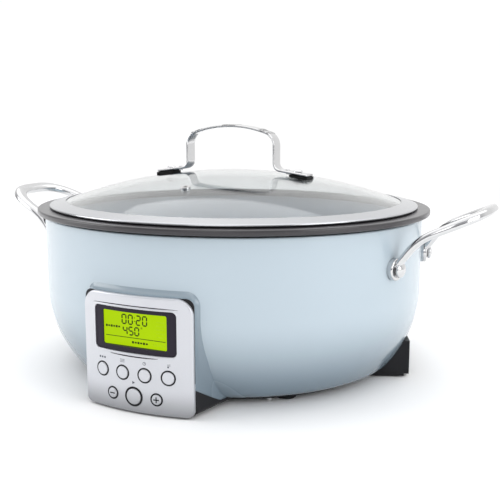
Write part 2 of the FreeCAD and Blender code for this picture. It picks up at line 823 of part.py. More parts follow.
def handle_side(half_root, half_tip):
    """The handle seen along Y: an arc that leaves the wall upright, then a straight run to a rounded tip."""
    centre = (HANDLE_ROOT + HANDLE_CURVE, HANDLE_START)
    start_angle, end_angle = 180, 180 - HANDLE_CURVE_TURN
    middle_angle = (start_angle + end_angle) / 2
    slope = math.radians(90 - HANDLE_CURVE_TURN)
    bend = polar(centre, HANDLE_CURVE, end_angle)
    tip_x = size("loop_reach") - half_tip
    tip = (tip_x, bend[1] + (tip_x - bend[0]) * math.tan(slope))
    above = (tip[0] - half_tip * math.sin(slope), tip[1] + half_tip * math.cos(slope))
    below = (tip[0] + half_tip * math.sin(slope), tip[1] - half_tip * math.cos(slope))
    end = (tip[0] + half_tip * math.cos(slope), tip[1] + half_tip * math.sin(slope))
    outer, inner = HANDLE_CURVE + half_root, HANDLE_CURVE - half_root
    return section(
        (centre[0] - outer, HANDLE_START),
        (polar(centre, outer, middle_angle), polar(centre, outer, end_angle)),
        above, (end, below),
        polar(centre, inner, end_angle),
        (polar(centre, inner, middle_angle), (centre[0] - inner, HANDLE_START)),
    )


def loop_plan(reach, half, power, low, high):
    """A prism whose plan is a squarish half oval that opens towards the body."""
    root = HANDLE_ROOT - 6
    points = []
    steps = 14
    for index in range(-steps, steps + 1):
        angle = index / steps * math.pi / 2
        along = abs(math.cos(angle)) ** (2 / power)
        across = math.copysign(abs(math.sin(angle)) ** (2 / power), angle)
        points.append(Vec(root + (reach - root) * along, half * across, low))
    curve = Part.BSplineCurve()
    curve.interpolate(points)
    closing = Part.LineSegment(points[-1], points[0]).toShape()
    return Part.Face(Part.Wire([curve.toShape(), closing])).extrude(UP * (high - low))


def make_side_handle(side, label):
    """A cast loop: two legs that rise from eyelets on the wall and meet in a flat grip."""
    face = handle_side(3.4, 4.6)
    face.translate(Vec(0, -70, 0))
    strip = face.extrude(Vec(0, 140, 0))
    outer = loop_plan(size("loop_reach"), size("loop_half"), 2.9, 60, 220)
    inner = loop_plan(size("opening_reach"), size("opening_half"), 3.4, 60, 220)
    gap = block((HANDLE_ROOT - 30, -size("opening_half"), 60), (HANDLE_ROOT - 5, size("opening_half"), 220))
    below = block((HANDLE_ROOT - 30, -90, 60), (HANDLE_ROOT + 30, 90, size("eyelet_height")))
    loop = strip.common(outer).cut([inner, gap, below])
    if side < 0:
        loop = loop.mirror(Vec(0, 0, 0), Vec(1, 0, 0))
    eyelets = [rod(size("eyelet_radius"), eyelet_point(side, front, -3),
                   eyelet_point(side, front, size("eyelet_thick"))) for front in (1, -1)]
    holes = [rod(size("handle_screw") + 0.1, eyelet_point(side, front, -10), eyelet_point(side, front, 20))
             for front in (1, -1)]
    seats = [rod(HANDLE_HEAD + 0.4, eyelet_point(side, front, size("eyelet_thick")), eyelet_point(side, front, 30))
             for front in (1, -1)]
    shape = union([loop] + eyelets).cut([housing_body(-0.05)] + holes + seats)
    feature(label, largest_solid(shape))


HANDLE_HEAD = 6.4


def make_handle_fasteners():
    """Domed screws outside the eyelets and the nuts inside the wall."""
    dome = domed_head(HANDLE_HEAD, 2.4, 2.2)
    seat = size("eyelet_thick") + 0.05
    shaft = Part.makeCylinder(size("handle_screw"), seat + 9.2, Vec(0, 0, -seat - 9))
    shape = union([dome, shaft])
    places, nut_places = [], []
    for side, front in CORNERS:
        normal = side_normal(side, front)
        places.append(at(*eyelet_point(side, front, seat), normal))
        nut_places.append(at(*eyelet_point(side, front, -6.8), normal))
    group("handle_screws", shape, places)
    nut = Part.makeCylinder(5.5, 4.0).cut(Part.makeCylinder(size("handle_screw") + 0.1, 4.0))
    group("handle_nuts", nut, nut_places)


# ---------------------------------------------------------------- control pod
BUTTONS = [  # label, arc position in pitches, row, cap radius, well radius
    ("button_mode", -1.5, "upper_row", 5.2, 6.1),
    ("button_menu", -0.5, "upper_row", 5.2, 6.1),
    ("button_time", 0.5, "upper_row", 5.2, 6.1),
    ("button_temp", 1.5, "upper_row", 5.2, 6.1),
    ("button_minus", -1.0, "lower_row", 4.2, 5.0),
    ("button_start", 0.0, "lower_row", 6.6, 7.7),
    ("button_plus", 1.0, "lower_row", 4.2, 5.0),
]
PANEL_AXIS_Y = size("panel_radius") - size("panel_front")


def panel_cylinder(radius):
    """An upright cylinder on the panel's axis of curvature."""
    return Part.makeCylinder(radius, 140, Vec(0, PANEL_AXIS_Y, -10))


def button_frame(pitches, row):
    """The point on the panel's face and the outward direction for a button."""
    angle = pitches * size("button_pitch") / size("panel_radius")
    outward = Vec(math.sin(angle), -math.cos(angle), 0)
    point = Vec(0, PANEL_AXIS_Y, size(row)) + outward * size("panel_radius")
    return point, outward


def pod_prism(inset, front=-200, back=-112):
    bottom_radius, top_radius = 6.0, 14.0
    return rounded_prism(size("pod_half") - inset, size("pod_bottom") + inset, size("pod_top") - inset,
                         max(bottom_radius - inset, 1.0), top_radius - inset, front, back)


def button_holes(extra, use_well):
    """Round cutters along every button's axis, as wide as its well or as its cap."""
    cutters = []
    for _, pitches, row, cap, well in BUTTONS:
        point, outward = button_frame(pitches, row)
        radius = well if use_well else cap + extra
        cutters.append(rod(radius, point - outward * 12, point + outward * 5))
    return cutters


def window_prism(grow, corner):
    return rounded_prism(size("window_half") + grow, size("window_bottom") - grow, size("window_top") + grow,
                         corner, corner, -200, -150)


def make_front_panel():
    """The silver face: part of an upright cylinder, with its front edges rounded."""
    radius = size("panel_radius")
    shell = panel_cylinder(radius).cut(panel_cylinder(radius - size("panel_thick")))
    plate = pod_prism(0, -200, -150).common(shell)
    rim = [edge for edge in plate.Edges if on_cylinder(edge, radius)]
    plate = plate.makeFillet(1.6, rim)
    feature("front_panel", plate.cut([window_prism(0.25, 4.2)] + button_holes(0, True)))


def on_cylinder(edge, radius):
    """True if the whole edge lies on the panel's front surface."""
    first, last = edge.ParameterRange
    points = [edge.valueAt(first + (last - first) * step / 4) for step in range(5)]
    return all(abs(math.hypot(p.x, p.y - PANEL_AXIS_Y) - radius) < 1e-3 for p in points)


def make_panel_reveal():
    """The black frame that shows as a thin dark joint between the panel and the pod."""
    radius = size("panel_radius") - size("panel_thick")
    shell = panel_cylinder(radius).cut(panel_cylinder(radius - 2))
    feature("panel_reveal", pod_prism(1.6, -200, -150).cut(pod_prism(4.2, -210, -140)).common(shell))


def below_pod_split():
    """Everything under the sloping line where the coloured pod meets its black base."""
    front_height, back_height, slope, front = 27.0, 9.0, 0.565, -174.0
    start = Vec(-80, -215, front_height + (front + 215) * slope)
    turn = Vec(-80, front + (front_height - back_height) / slope, back_height)
    face = Part.Face(Part.makePolygon([
        start, turn, Vec(-80, -100, back_height), Vec(-80, -100, -5), Vec(-80, -215, -5), start,
    ]))
    return face.extrude(Vec(160, 0, 0))


def pod_shell():
    """The hollow pod between the panel and the housing."""
    radius = size("panel_radius") - size("panel_thick") - 2
    wall = size("pod_wall")
    hollow = pod_prism(wall, -210, -116).cut(housing_body(-wall).common(block((-90, -140, 0), (90, -100, 30))))
    pan = oval(section((0, size("pan_bottom")), (size("pan_half") + 0.2, size("pan_bottom")),
                       (size("pan_half") + 0.2, size("pan_top") + 0.5), (0, size("pan_top") + 0.5)))
    return pod_prism(0).common(panel_cylinder(radius)).cut([housing_body(), pan, hollow])


def make_pod_parts():
    shell = pod_shell()
    split = below_pod_split()
    feature("pod_fairing", largest_solid(shell.cut(split)))
    holes = [rod(LEG_SCREW + 0.1, Vec(x, y, 0), Vec(x, y, 12)) for x, y in leg_screw_places()]
    holes += [rod(3.2, Vec(x, y, 0), Vec(x, y, size("pod_bottom") + 1.8)) for x, y in leg_screw_places()]
    feature("pod_base", largest_solid(shell.common(split).cut(holes)))


def make_window_bezel():
    """The dark frame in the panel's window, round the flat screen."""
    front, back = panel_cylinder(size("panel_radius") - 0.8), panel_cylinder(size("panel_radius") - 5.2)
    opening = rounded_prism(size("screen_half"), size("screen_bottom"), size("screen_top"), 1.6, 1.6, -200, -150)
    screen_seat = block((-size("screen_half") - 3, -size("panel_front") + 4.3, size("screen_bottom") - 3),
                        (size("screen_half") + 3, -150, size("screen_top") + 3))
    feature("window_bezel", window_prism(0, 4.0).common(front.cut(back)).cut([opening, screen_seat]))


def make_screen():
    """The flat liquid-crystal screen behind the bezel."""
    screen = doc.addObject("Part::Box", "lcd_module")
    screen.setExpression("Length", "2 * dims.screen_half + 5")
    screen.setExpression("Height", "dims.screen_top - dims.screen_bottom + 5")
    bind(screen, Width=3.0)
    screen.Placement.Base = Vec(-size("screen_half") - 2.5, -size("panel_front") + 4.35, size("screen_bottom") - 2.5)
    keep(screen, "lcd_module")


BOARD_SCREWS = [(side * 41.0, height) for side in (1, -1) for height in (11.0, 44.5)]


def make_keypad_frame():
    """The black plate behind the panel that guides the buttons, with bosses for the control board."""
    outer = size("panel_radius") - size("panel_thick") - 0.1
    shell = panel_cylinder(outer).cut(panel_cylinder(outer - 1.5))
    plate = rounded_prism(46.5, 6.0, 49.0, 3.0, 3.0, -200, -150).common(shell)
    bosses = [rod(2.8, Vec(x, -size("board_front"), z), Vec(x, -176, z)) for x, z in BOARD_SCREWS]
    bosses = [boss.common(panel_cylinder(outer - 0.5)) for boss in bosses]
    screws = [rod(1.2, Vec(x, -size("board_front") + 5, z), Vec(x, -171.5, z)) for x, z in BOARD_SCREWS]
    feature("keypad_frame", union([plate] + bosses).cut(button_holes(0.35, False) + screws))


def make_control_board():
    """A flat board behind the panel, drilled for its four screws."""
    body = doc.addObject("PartDesign::Body", "control_board")
    sketch = new_sketch(body, "board_outline", "XZ_Plane", size("board_front"))
    add_polygon(sketch, [(-44.5, 8), (44.5, 8), (44.5, 90), (-44.5, 90)])
    for place in BOARD_SCREWS:
        add_circle(sketch, place, 1.2)
    pad(body, sketch, "board_sheet", "board_thick", reverse=True)
    keep(body, "control_board")


def make_board_screws():
    shape = screw(1.1, 2.2, 1.2, 6.5)
    back = -size("board_front") + size("board_thick")
    group("board_screws", shape, [at(x, back, z, Vec(0, -1, 0)) for x, z in BOARD_SCREWS])


def button_stem(pitches, row):
    """How far a button's stem reaches behind the panel's face, and where it ends."""
    point, outward = button_frame(pitches, row)
    gap_to_switch = 4.1
    reach = (-size("board_front") - gap_to_switch - point.y) / -outward.y
    return reach, point - outward * reach


def make_buttons():
    for label, pitches, row, cap, _ in BUTTONS:
        reach, _ = button_stem(pitches, row)
        button = turned(label, [
            (0, 0.9), (cap - 0.9, 0.8), (cap, 0.1), (cap, -5.4), (cap + 1.0, -5.4), (cap + 1.0, -6.3),
            (1.5, -6.3), (1.5, -reach), (0, -reach),
        ])
        point, outward = button_frame(pitches, row)
        button.Placement = at(*point, outward)
        keep(button, label)


def make_tact_switches():
    """A small switch on the board behind every button."""
    places = []
    for _, pitches, row, _, _ in BUTTONS:
        _, end = button_stem(pitches, row)
        places.append(FreeCAD.Placement(Vec(end.x, -size("board_front"), end.z), FreeCAD.Rotation()))
    group("tact_switches", block((-3, -2.6, -3), (3, 0, 3)), places)


# ---------------------------------------------------------------- electronics under the heat well
POWER_BOARD = ((-96.0, -35.0), (-26.0, 45.0))
POWER_BOARD_HEIGHT = 14.0


def make_power_board():
    (x0, y0), (x1, y1) = POWER_BOARD
    board = doc.addObject("Part::Box", "power_board")
    bind(board, Length=x1 - x0, Width=y1 - y0, Height="board_thick")
    board.Placement.Base = Vec(x0, y0, POWER_BOARD_HEIGHT)
    keep(board, "power_board")
    corners = [(x, y) for x in (x0 + 5, x1 - 5) for y in (y0 + 5, y1 - 5)]
    parts = []
    for index, (x, y) in enumerate(corners):
        post = doc.addObject("Part::Cylinder", f"board_standoff_{index + 1}")
        bind(post, Radius=3.0)
        post.Height = POWER_BOARD_HEIGHT - size("pan_top")
        post.Placement.Base = Vec(x, y, size("pan_top"))
        parts.append(post)
    standoffs = doc.addObject("Part::Compound", "board_standoffs")
    standoffs.Links = parts
    keep(standoffs, "board_standoffs")


def make_board_parts():
    """The relay that switches the element and the small transformer that feeds the control board."""
    top = POWER_BOARD_HEIGHT + size("board_thick")
    for label, corner, box in (
        ("relay", (-58.0, 14.0), (19.0, 15.0, 15.5)),
        ("transformer", (-88.0, -28.0), (30.0, 26.0, 18.0)),
        ("terminal_block", (-93.0, 12.0), (12.0, 22.0, 8.0)),
    ):
        piece = doc.addObject("Part::Box", label)
        bind(piece, Length=box[0], Width=box[1], Height=box[2])
        piece.Placement.Base = Vec(*corner, top)
        keep(piece, label)


def make_ribbon_cable():
    """A flat cable from the back of the control board down to the power board."""
    front = -size("board_front") + size("board_thick")
    low = POWER_BOARD_HEIGHT + size("board_thick")
    thick, level = 0.9, 21.0
    end = POWER_BOARD[0][1] + 6
    face = Part.Face(Part.makePolygon([
        Vec(-48, front, level), Vec(-48, end, level), Vec(-48, end, low), Vec(-48, end + thick, low),
        Vec(-48, end + thick, level + thick), Vec(-48, front, level + thick), Vec(-48, front, level),
    ]))
    cable = face.extrude(Vec(16, 0, 0))
    cable.translate(Vec(6, 0, 0))
    feature("ribbon_cable", cable)


def make_leads():
    """Mains leads from the gland, heater leads to the element's pins and the probe's lead."""
    along = leg_direction(-1)
    inner = along * (size("leg_reach") - 8) + UP * size("gland_height")
    across = Vec(-along.y, along.x, 0)
    mains = []
    for offset in (1.6, -1.6):
        start = inner + across * offset
        mains.append(lead("mains_leads", [
            start, start - along * 14 + UP * 0.8, start - along * 30 + across * offset + UP * 2.5,
            Vec(-94.4, 23 - 2.5 * offset, 20),
        ], 2.4))
    feature("mains_leads", Part.makeCompound(mains))
    heater = []
    for side in (1, -1):
        pin = terminal_place(side) - UP * 10
        heater.append(lead("heater_leads", [
            (-38.4, 21.5 + 3 * side, 24), (-25, 24 + 4 * side, 23.5), (-6 + 5 * side, 46 + 3 * side, 22),
            (pin.x, pin.y - 9, 22), (pin.x, pin.y, pin.z - 0.6),
        ], 2.4))
    feature("heater_leads", Part.makeCompound(heater))
    low = POWER_BOARD_HEIGHT + size("board_thick")
    feature("sensor_lead", lead("sensor_lead", [
        (-16.3, 0, 33), (-24, -4, 31), (-33, -9, 25.5), (-40, -12, low + 0.5),
    ], 1.8))


# ---------------------------------------------------------------- build, check and write
def main():
    make_outer_housing()
    make_bottom_pan()
    make_pan_screws()
    make_rubber_feet()
    for side, name in ((1, "right"), (-1, "left")):
        make_rear_leg(side, "rear_leg_" + name)
        make_leg_cover(side, "leg_cover_" + name)
        make_side_handle(side, "side_handle_" + name)
    make_leg_screws()
    make_cord_gland()
    make_handle_fasteners()
    make_rim_gasket()
    make_heat_well()
    make_insulation_band()
    make_heating_plate()
    make_heating_element()
    make_plate_posts()
    make_thermal_fuse()
    make_probe_holder()
    make_temperature_probe()
    make_probe_spring()
    make_inner_pot()
    make_lid_glass()
    make_lid_band()
    make_lid_seal()
    make_lid_handle()
    make_lid_handle_pads()
    make_lid_fasteners()
    make_lid_vent_grommet()
    make_front_panel()
    make_panel_reveal()
    make_pod_parts()
    make_window_bezel()
    make_screen()
    make_keypad_frame()
    make_control_board()
    make_board_screws()
    make_buttons()
    make_tact_switches()
    make_power_board()
    make_board_parts()
    make_ribbon_cable()
    make_leads()

    doc.recompute()
    for node in nodes:
        node.Placement.Base += Vec(0, size("body_shift"), 0)
    doc.recompute()
    for obj in doc.Objects:
        assert not {"Invalid", "Error"} & set(obj.State), obj.Name
    for node in nodes:
        assert not node.Shape.isNull() and node.Shape.isValid(), node.Label
        print(node.Label, len(node.Shape.Solids), round(node.Shape.Volume))
    for node in nodes:
        node.Shape.exportStep(f"parts/{node.Label}.step")
    whole = [node.Shape.optimalBoundingBox(False) for node in nodes]
    print("box", [round(min(getattr(box, side) for box in whole), 2) for side in ("XMin", "YMin", "ZMin")],
          [round(max(getattr(box, side) for box in whole), 2) for side in ("XMax", "YMax", "ZMax")])


main()
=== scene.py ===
import json
import math

import bmesh
import bpy
import numpy as np
from bpy.props import FloatProperty, FloatVectorProperty, PointerProperty
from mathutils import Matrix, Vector


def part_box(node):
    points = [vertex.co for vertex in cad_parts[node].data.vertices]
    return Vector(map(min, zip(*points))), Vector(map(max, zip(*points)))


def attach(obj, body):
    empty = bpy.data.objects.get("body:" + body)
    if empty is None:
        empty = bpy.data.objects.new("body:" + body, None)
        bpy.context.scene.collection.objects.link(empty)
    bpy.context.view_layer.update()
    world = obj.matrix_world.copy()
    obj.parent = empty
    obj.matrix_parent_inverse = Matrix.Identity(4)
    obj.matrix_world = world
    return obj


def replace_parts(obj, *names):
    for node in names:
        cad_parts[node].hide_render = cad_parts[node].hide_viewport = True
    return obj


bl_info = {
    "name": "Slow cooker",
    "version": (1, 0, 0),
    "blender": (4, 5, 0),
    "location": "3D View > Sidebar > Slow cooker",
    "description": "Builds the visible surfaces and finishes of an oval slow cooker on its CAD frame",
    "category": "Object",
}

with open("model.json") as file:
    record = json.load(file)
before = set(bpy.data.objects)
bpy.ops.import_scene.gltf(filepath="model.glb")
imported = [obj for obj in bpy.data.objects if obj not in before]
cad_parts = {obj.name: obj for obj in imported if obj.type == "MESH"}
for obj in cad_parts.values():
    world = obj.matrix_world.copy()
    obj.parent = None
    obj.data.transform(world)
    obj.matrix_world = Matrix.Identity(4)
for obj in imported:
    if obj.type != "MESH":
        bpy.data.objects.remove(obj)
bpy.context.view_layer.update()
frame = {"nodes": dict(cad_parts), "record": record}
RECORD = frame["record"]
MM = 0.001


# ---------------------------------------------------------------- places read from the frame
def middle(node, axis):
    low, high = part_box(node)
    return (low[axis] + high[axis]) / 2


FLANGE_LOW, FLANGE_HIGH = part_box("inner_pot")
CENTRE_Y = middle("inner_pot", 1)
FLANGE_HALF = FLANGE_HIGH[0]
FLANGE_TOP = FLANGE_HIGH[2]
OVAL = (FLANGE_HIGH[1] - CENTRE_Y) / FLANGE_HALF
WALL_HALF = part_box("outer_housing")[1][0]
WALL_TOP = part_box("outer_housing")[1][2]
WALL_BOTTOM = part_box("outer_housing")[0][2]
DOME_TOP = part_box("lid_glass")[1][2]
PANEL_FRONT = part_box("front_panel")[0][1]
SCREEN_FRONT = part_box("lcd_module")[0][1]
STRAP_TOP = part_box("lid_handle")[1][2]
PANEL_RADIUS = 0.190
PANEL_AXIS = PANEL_FRONT + PANEL_RADIUS


# ---------------------------------------------------------------- sizes and colours a user may change
class CookerSizes(bpy.types.PropertyGroup):
    strap_thick: FloatProperty(name="Strap thickness", description="Thickness of the lid handle's strap",
                               default=2.8 * MM, unit="LENGTH")
    strap_width: FloatProperty(name="Strap width", description="Width of the lid handle's strap",
                               default=15.6 * MM, unit="LENGTH")
    cap_proud: FloatProperty(name="Button height", description="How far the button caps stand proud",
                             default=0.8 * MM, unit="LENGTH")
    camera_distance: FloatProperty(name="Camera distance", description="From camera to the cooker's middle",
                                   default=0.808, unit="LENGTH")


class CookerColours(bpy.types.PropertyGroup):
    enamel: FloatVectorProperty(name="Enamel", description="Light blue of the housing", subtype="COLOR",
                                default=(0.450, 0.532, 0.590), size=3, min=0, max=1)
    coating: FloatVectorProperty(name="Pot coating", description="Charcoal of the pot's flange and outside",
                                 subtype="COLOR", default=(0.022, 0.019, 0.023), size=3, min=0, max=1)
    ceramic: FloatVectorProperty(name="Pot lining", description="Grey lining of the pot", subtype="COLOR",
                                 default=(0.43, 0.475, 0.53), size=3, min=0, max=1)
    silver: FloatVectorProperty(name="Silver", description="Lacquer of the control panel", subtype="COLOR",
                                default=(0.60, 0.61, 0.645), size=3, min=0, max=1)
    screen: FloatVectorProperty(name="Screen", description="Lit background of the screen", subtype="COLOR",
                                default=(0.47, 0.73, 0.0), size=3, min=0, max=1)


def sizes():
    return bpy.context.scene.cooker_sizes


def colours():
    return bpy.context.scene.cooker_colours


# ---------------------------------------------------------------- shader expressions
class Shade:
    """A shader socket; arithmetic on it adds Math nodes."""

    def __init__(self, paint, socket):
        self.paint, self.socket = paint, socket

    def maths(self, operation, left, right):
        return self.paint.node("ShaderNodeMath", {"operation": operation}, {0: left, 1: right})

    def __add__(self, other):
        return self.maths("ADD", self, other)

    __radd__ = __add__

    def __sub__(self, other):
        return self.maths("SUBTRACT", self, other)

    def __rsub__(self, other):
        return self.maths("SUBTRACT", other, self)

    def __mul__(self, other):
        return self.maths("MULTIPLY", self, other)

    __rmul__ = __mul__

    def __pow__(self, other):
        return self.maths("POWER", self, other)


class Paint:
    """The nodes that feed a material's Principled shader, or a world's Background."""

    def __init__(self, name, kind=bpy.data.materials, shader="Principled BSDF"):
        self.material = kind.new(name)
        self.material.use_nodes = True
        self.tree = self.material.node_tree
        self.shader = self.tree.nodes[shader]

    def node(self, kind, settings=None, inputs=None, output=0):
        node = self.tree.nodes.new(kind)
        for name, value in (settings or {}).items():
            if name == "stops":
                ramp = node.color_ramp.elements
                while len(ramp) < len(value):
                    ramp.new(0.5)
                for element, (place, colour) in zip(ramp, value):
                    element.position, element.color = place, (*colour, 1.0)
            else:
                setattr(node, name, value)
        for key, value in (inputs or {}).items():
            if isinstance(value, Shade):
                self.tree.links.new(value.socket, node.inputs[key])
            else:
                node.inputs[key].default_value = value
        return Shade(self, node.outputs[output])

    def set(self, **values):
        """Sets the shader's sockets; a word such as base_color names the socket Base Color."""
        names = {"ior": "IOR", "specular_ior_level": "Specular IOR Level"}
        for word, value in values.items():
            socket = self.shader.inputs[names.get(word, word.replace("_", " ").title())]
            if isinstance(value, Shade):
                self.tree.links.new(value.socket, socket)
            else:
                socket.default_value = value
        return self

    def place(self):
        return self.node("ShaderNodeTexCoord", output="Object")

    def noise(self, scale, detail=2.0, stretch=(1, 1, 1)):
        """Noise between 0 and 1 on object coordinates, with a scale per metre along each axis."""
        vector = self.node("ShaderNodeMapping", {}, {"Vector": self.place(), "Scale": stretch})
        return self.node("ShaderNodeTexNoise", {}, {"Vector": vector, "Scale": scale, "Detail": detail})

    def blend(self, factor, first, second):
        return self.node("ShaderNodeMix", {"data_type": "RGBA"}, {0: factor, 6: rgba(first), 7: rgba(second)},
                         output=2)

    def bump(self, height, strength, distance):
        return self.node("ShaderNodeBump", {}, {"Height": height, "Strength": strength, "Distance": distance})

    def axis(self, index):
        return self.node("ShaderNodeSeparateXYZ", {}, {0: self.place()}, output=index)


def rgba(colour):
    return colour if isinstance(colour, Shade) else (*colour, 1.0)


def scaled(colour, factor):
    return tuple(min(1.0, c * factor) for c in colour)


MATERIALS = {}


def material(function, *arguments):
    """Makes a material once and keeps it under its function's name and arguments."""
    key = (function.__name__,) + arguments
    if key not in MATERIALS:
        MATERIALS[key] = function(*arguments)
    return MATERIALS[key]


# ---------------------------------------------------------------- finishes
def gloss_enamel(shade_full_height, shade_end_height, painted_shade_tone, name):
    """Glossy sprayed enamel under a clear coat: a slow drift of tone and gloss, and painted shade towards the
    foot.

    The colour is darkened and turned bluer there as painted shade, its tone running smoothly from the shade
    tone at the lower height to 1 at the upper height."""
    paint = Paint(name)
    colour = tuple(colours().enamel)
    drift = paint.noise(5.0, 0.0)
    # painted shade: the enamel's colour darkens and turns bluer towards the bottom, where shade falls
    rise = paint.node("ShaderNodeMapRange", {"interpolation_type": "SMOOTHSTEP"},
                      {0: paint.axis(2), 1: shade_full_height, 2: shade_end_height, 3: 0.0, 4: 1.0})
    foot = (colour[0] * painted_shade_tone * 0.84, colour[1] * painted_shade_tone, colour[2] * painted_shade_tone * 1.12)
    paint.set(base_color=paint.blend(rise * (0.97 + 0.03 * drift), foot, colour),
              roughness=0.26 + 0.02 * drift, coat_weight=0.5, coat_roughness=0.05, ior=1.5)
    return paint.material


def pot_coating():
    """Charcoal non-stick coating with a fine pale speckle."""
    paint = Paint("charcoal_coating")
    colour = tuple(colours().coating)
    stops = [(0.0, (0, 0, 0)), (0.66, (0, 0, 0)), (0.74, (1, 1, 1))]
    speckle = paint.node("ShaderNodeValToRGB", {"stops": stops}, {0: paint.noise(2600.0, 1.0)})
    paint.set(base_color=paint.blend(speckle * 0.22, colour, (0.22, 0.2, 0.24)),
              roughness=0.30 + 0.06 * paint.noise(90.0), coat_weight=0.3, coat_roughness=0.12,
              normal=paint.bump(paint.noise(900.0), 0.12, 0.0002))
    return paint.material


def pot_lining():
    """Smooth grey ceramic lining with faint turning marks and speckle."""
    paint = Paint("grey_ceramic_lining")
    colour = tuple(colours().ceramic)
    rings = paint.noise(14.0, 2.0, (1, 1, 60))
    paint.set(base_color=paint.blend(paint.noise(1500.0, 1.0), scaled(colour, 0.93), scaled(colour, 1.07)),
              roughness=0.2 + 0.1 * rings, coat_weight=0.4, coat_roughness=0.08,
              normal=paint.bump(rings, 0.08, 0.0002))
    return paint.material


def clear_glass():
    """Tempered clear glass with a faint cool tint and almost invisible waviness."""
    paint = Paint("clear_lid_glass")
    paint.set(base_color=paint.blend(paint.noise(6.0), (0.93, 0.965, 0.97), (0.96, 0.985, 0.99)),
              roughness=0.0, transmission_weight=1.0, ior=1.47,
              normal=paint.bump(paint.noise(25.0), 0.02, 0.0005))
    return paint.material


def polished_steel():
    """Cast stainless steel polished bright, with soft smears and very fine lines."""
    paint = Paint("polished_steel")
    smear = paint.noise(35.0, 3.0)
    lines = paint.noise(40.0, 2.0, (1, 30, 30))
    paint.set(base_color=paint.blend(smear, (0.58, 0.58, 0.585), (0.70, 0.70, 0.705)), metallic=1.0,
              roughness=0.09 + 0.09 * smear, normal=paint.bump(lines, 0.03, 0.0002))
    return paint.material


def ring_brushed_steel():
    """Steel brushed round the lid: fine noise that follows the radius and hardly changes along the ring."""
    paint = Paint("ring_brushed_steel")
    x, y = paint.axis(0), (paint.axis(1) - CENTRE_Y) * (1 / OVAL)
    radius = (x * x + y * y) ** 0.5
    height = paint.axis(2)
    vector = paint.node("ShaderNodeCombineXYZ", {}, {0: radius * 2400.0, 1: height * 900.0, 2: x * 6.0})
    lines = paint.node("ShaderNodeTexNoise", {}, {"Vector": vector, "Scale": 1.0, "Detail": 2.0})
    paint.set(base_color=paint.blend(lines, (0.50, 0.51, 0.53), (0.58, 0.59, 0.61)), metallic=1.0,
              roughness=0.17 + 0.10 * lines, normal=paint.bump(lines, 0.06, 0.0001))
    return paint.material


def silver_lacquer():
    """Satin silver lacquer: tiny metal flakes under a clear coat, with painted shade darkening it towards the
    foot.
    """
    paint = Paint("silver_lacquer")
    colour = tuple(colours().silver)
    # painted shade: the lacquer darkens towards the floor, on the panel's foot and the lower row of buttons
    foot = paint.node("ShaderNodeMapRange", {"interpolation_type": "SMOOTHSTEP"},
                      {0: paint.axis(2), 1: -0.002, 2: 0.026, 3: 0.42, 4: 1.0})
    flakes = paint.noise(3800.0, 1.0)
    toned = paint.blend(flakes, scaled(colour, 0.93), scaled(colour, 1.05))
    paint.set(base_color=paint.node("ShaderNodeMix", {"data_type": "RGBA", "blend_type": "MULTIPLY"},
                                    {0: 1.0, 6: toned, 7: paint.blend(foot, (0, 0, 0), (1, 1, 1))}, output=2),
              metallic=0.55, roughness=0.30 + 0.06 * flakes, coat_weight=0.5, coat_roughness=0.08,
              normal=paint.bump(flakes, 0.04, 0.0001))
    return paint.material


def lit_screen():
    """Backlit liquid crystal: a fine dot grid on yellow-green light that fades a little towards its ends."""
    paint = Paint("lit_screen")
    colour = tuple(colours().screen)
    fade = paint.noise(30.0, 1.0, (1, 1, 2))
    grid = paint.node("ShaderNodeTexChecker", {}, {"Vector": paint.place(), "Scale": 4200.0}, output=1)
    tone = paint.blend(fade * 0.8 + grid * 0.12, scaled(colour, 0.92), scaled(colour, 1.1))
    paint.set(base_color=(0.03, 0.05, 0.0, 1.0), roughness=0.55 + 0.1 * fade, specular_ior_level=0.08,
              emission_color=tone, emission_strength=0.86)
    return paint.material


def plain(name, colour, roughness, metallic, grain, depth, coat):
    """Moulded, plated or printed stock: two noises drive its tone, gloss and surface grain."""
    paint = Paint(name)
    tone, fine = paint.noise(45.0, 3.0), paint.noise(grain, 2.0)
    paint.set(base_color=paint.blend(tone, scaled(colour, 0.88), scaled(colour, 1.12)), metallic=metallic,
              roughness=roughness * 0.85 + roughness * 0.3 * fine, coat_weight=coat, coat_roughness=0.15,
              specular_ior_level=0.5 if metallic > 0 else 0.14,
              normal=paint.bump(fine, 0.35, depth))
    return paint.material


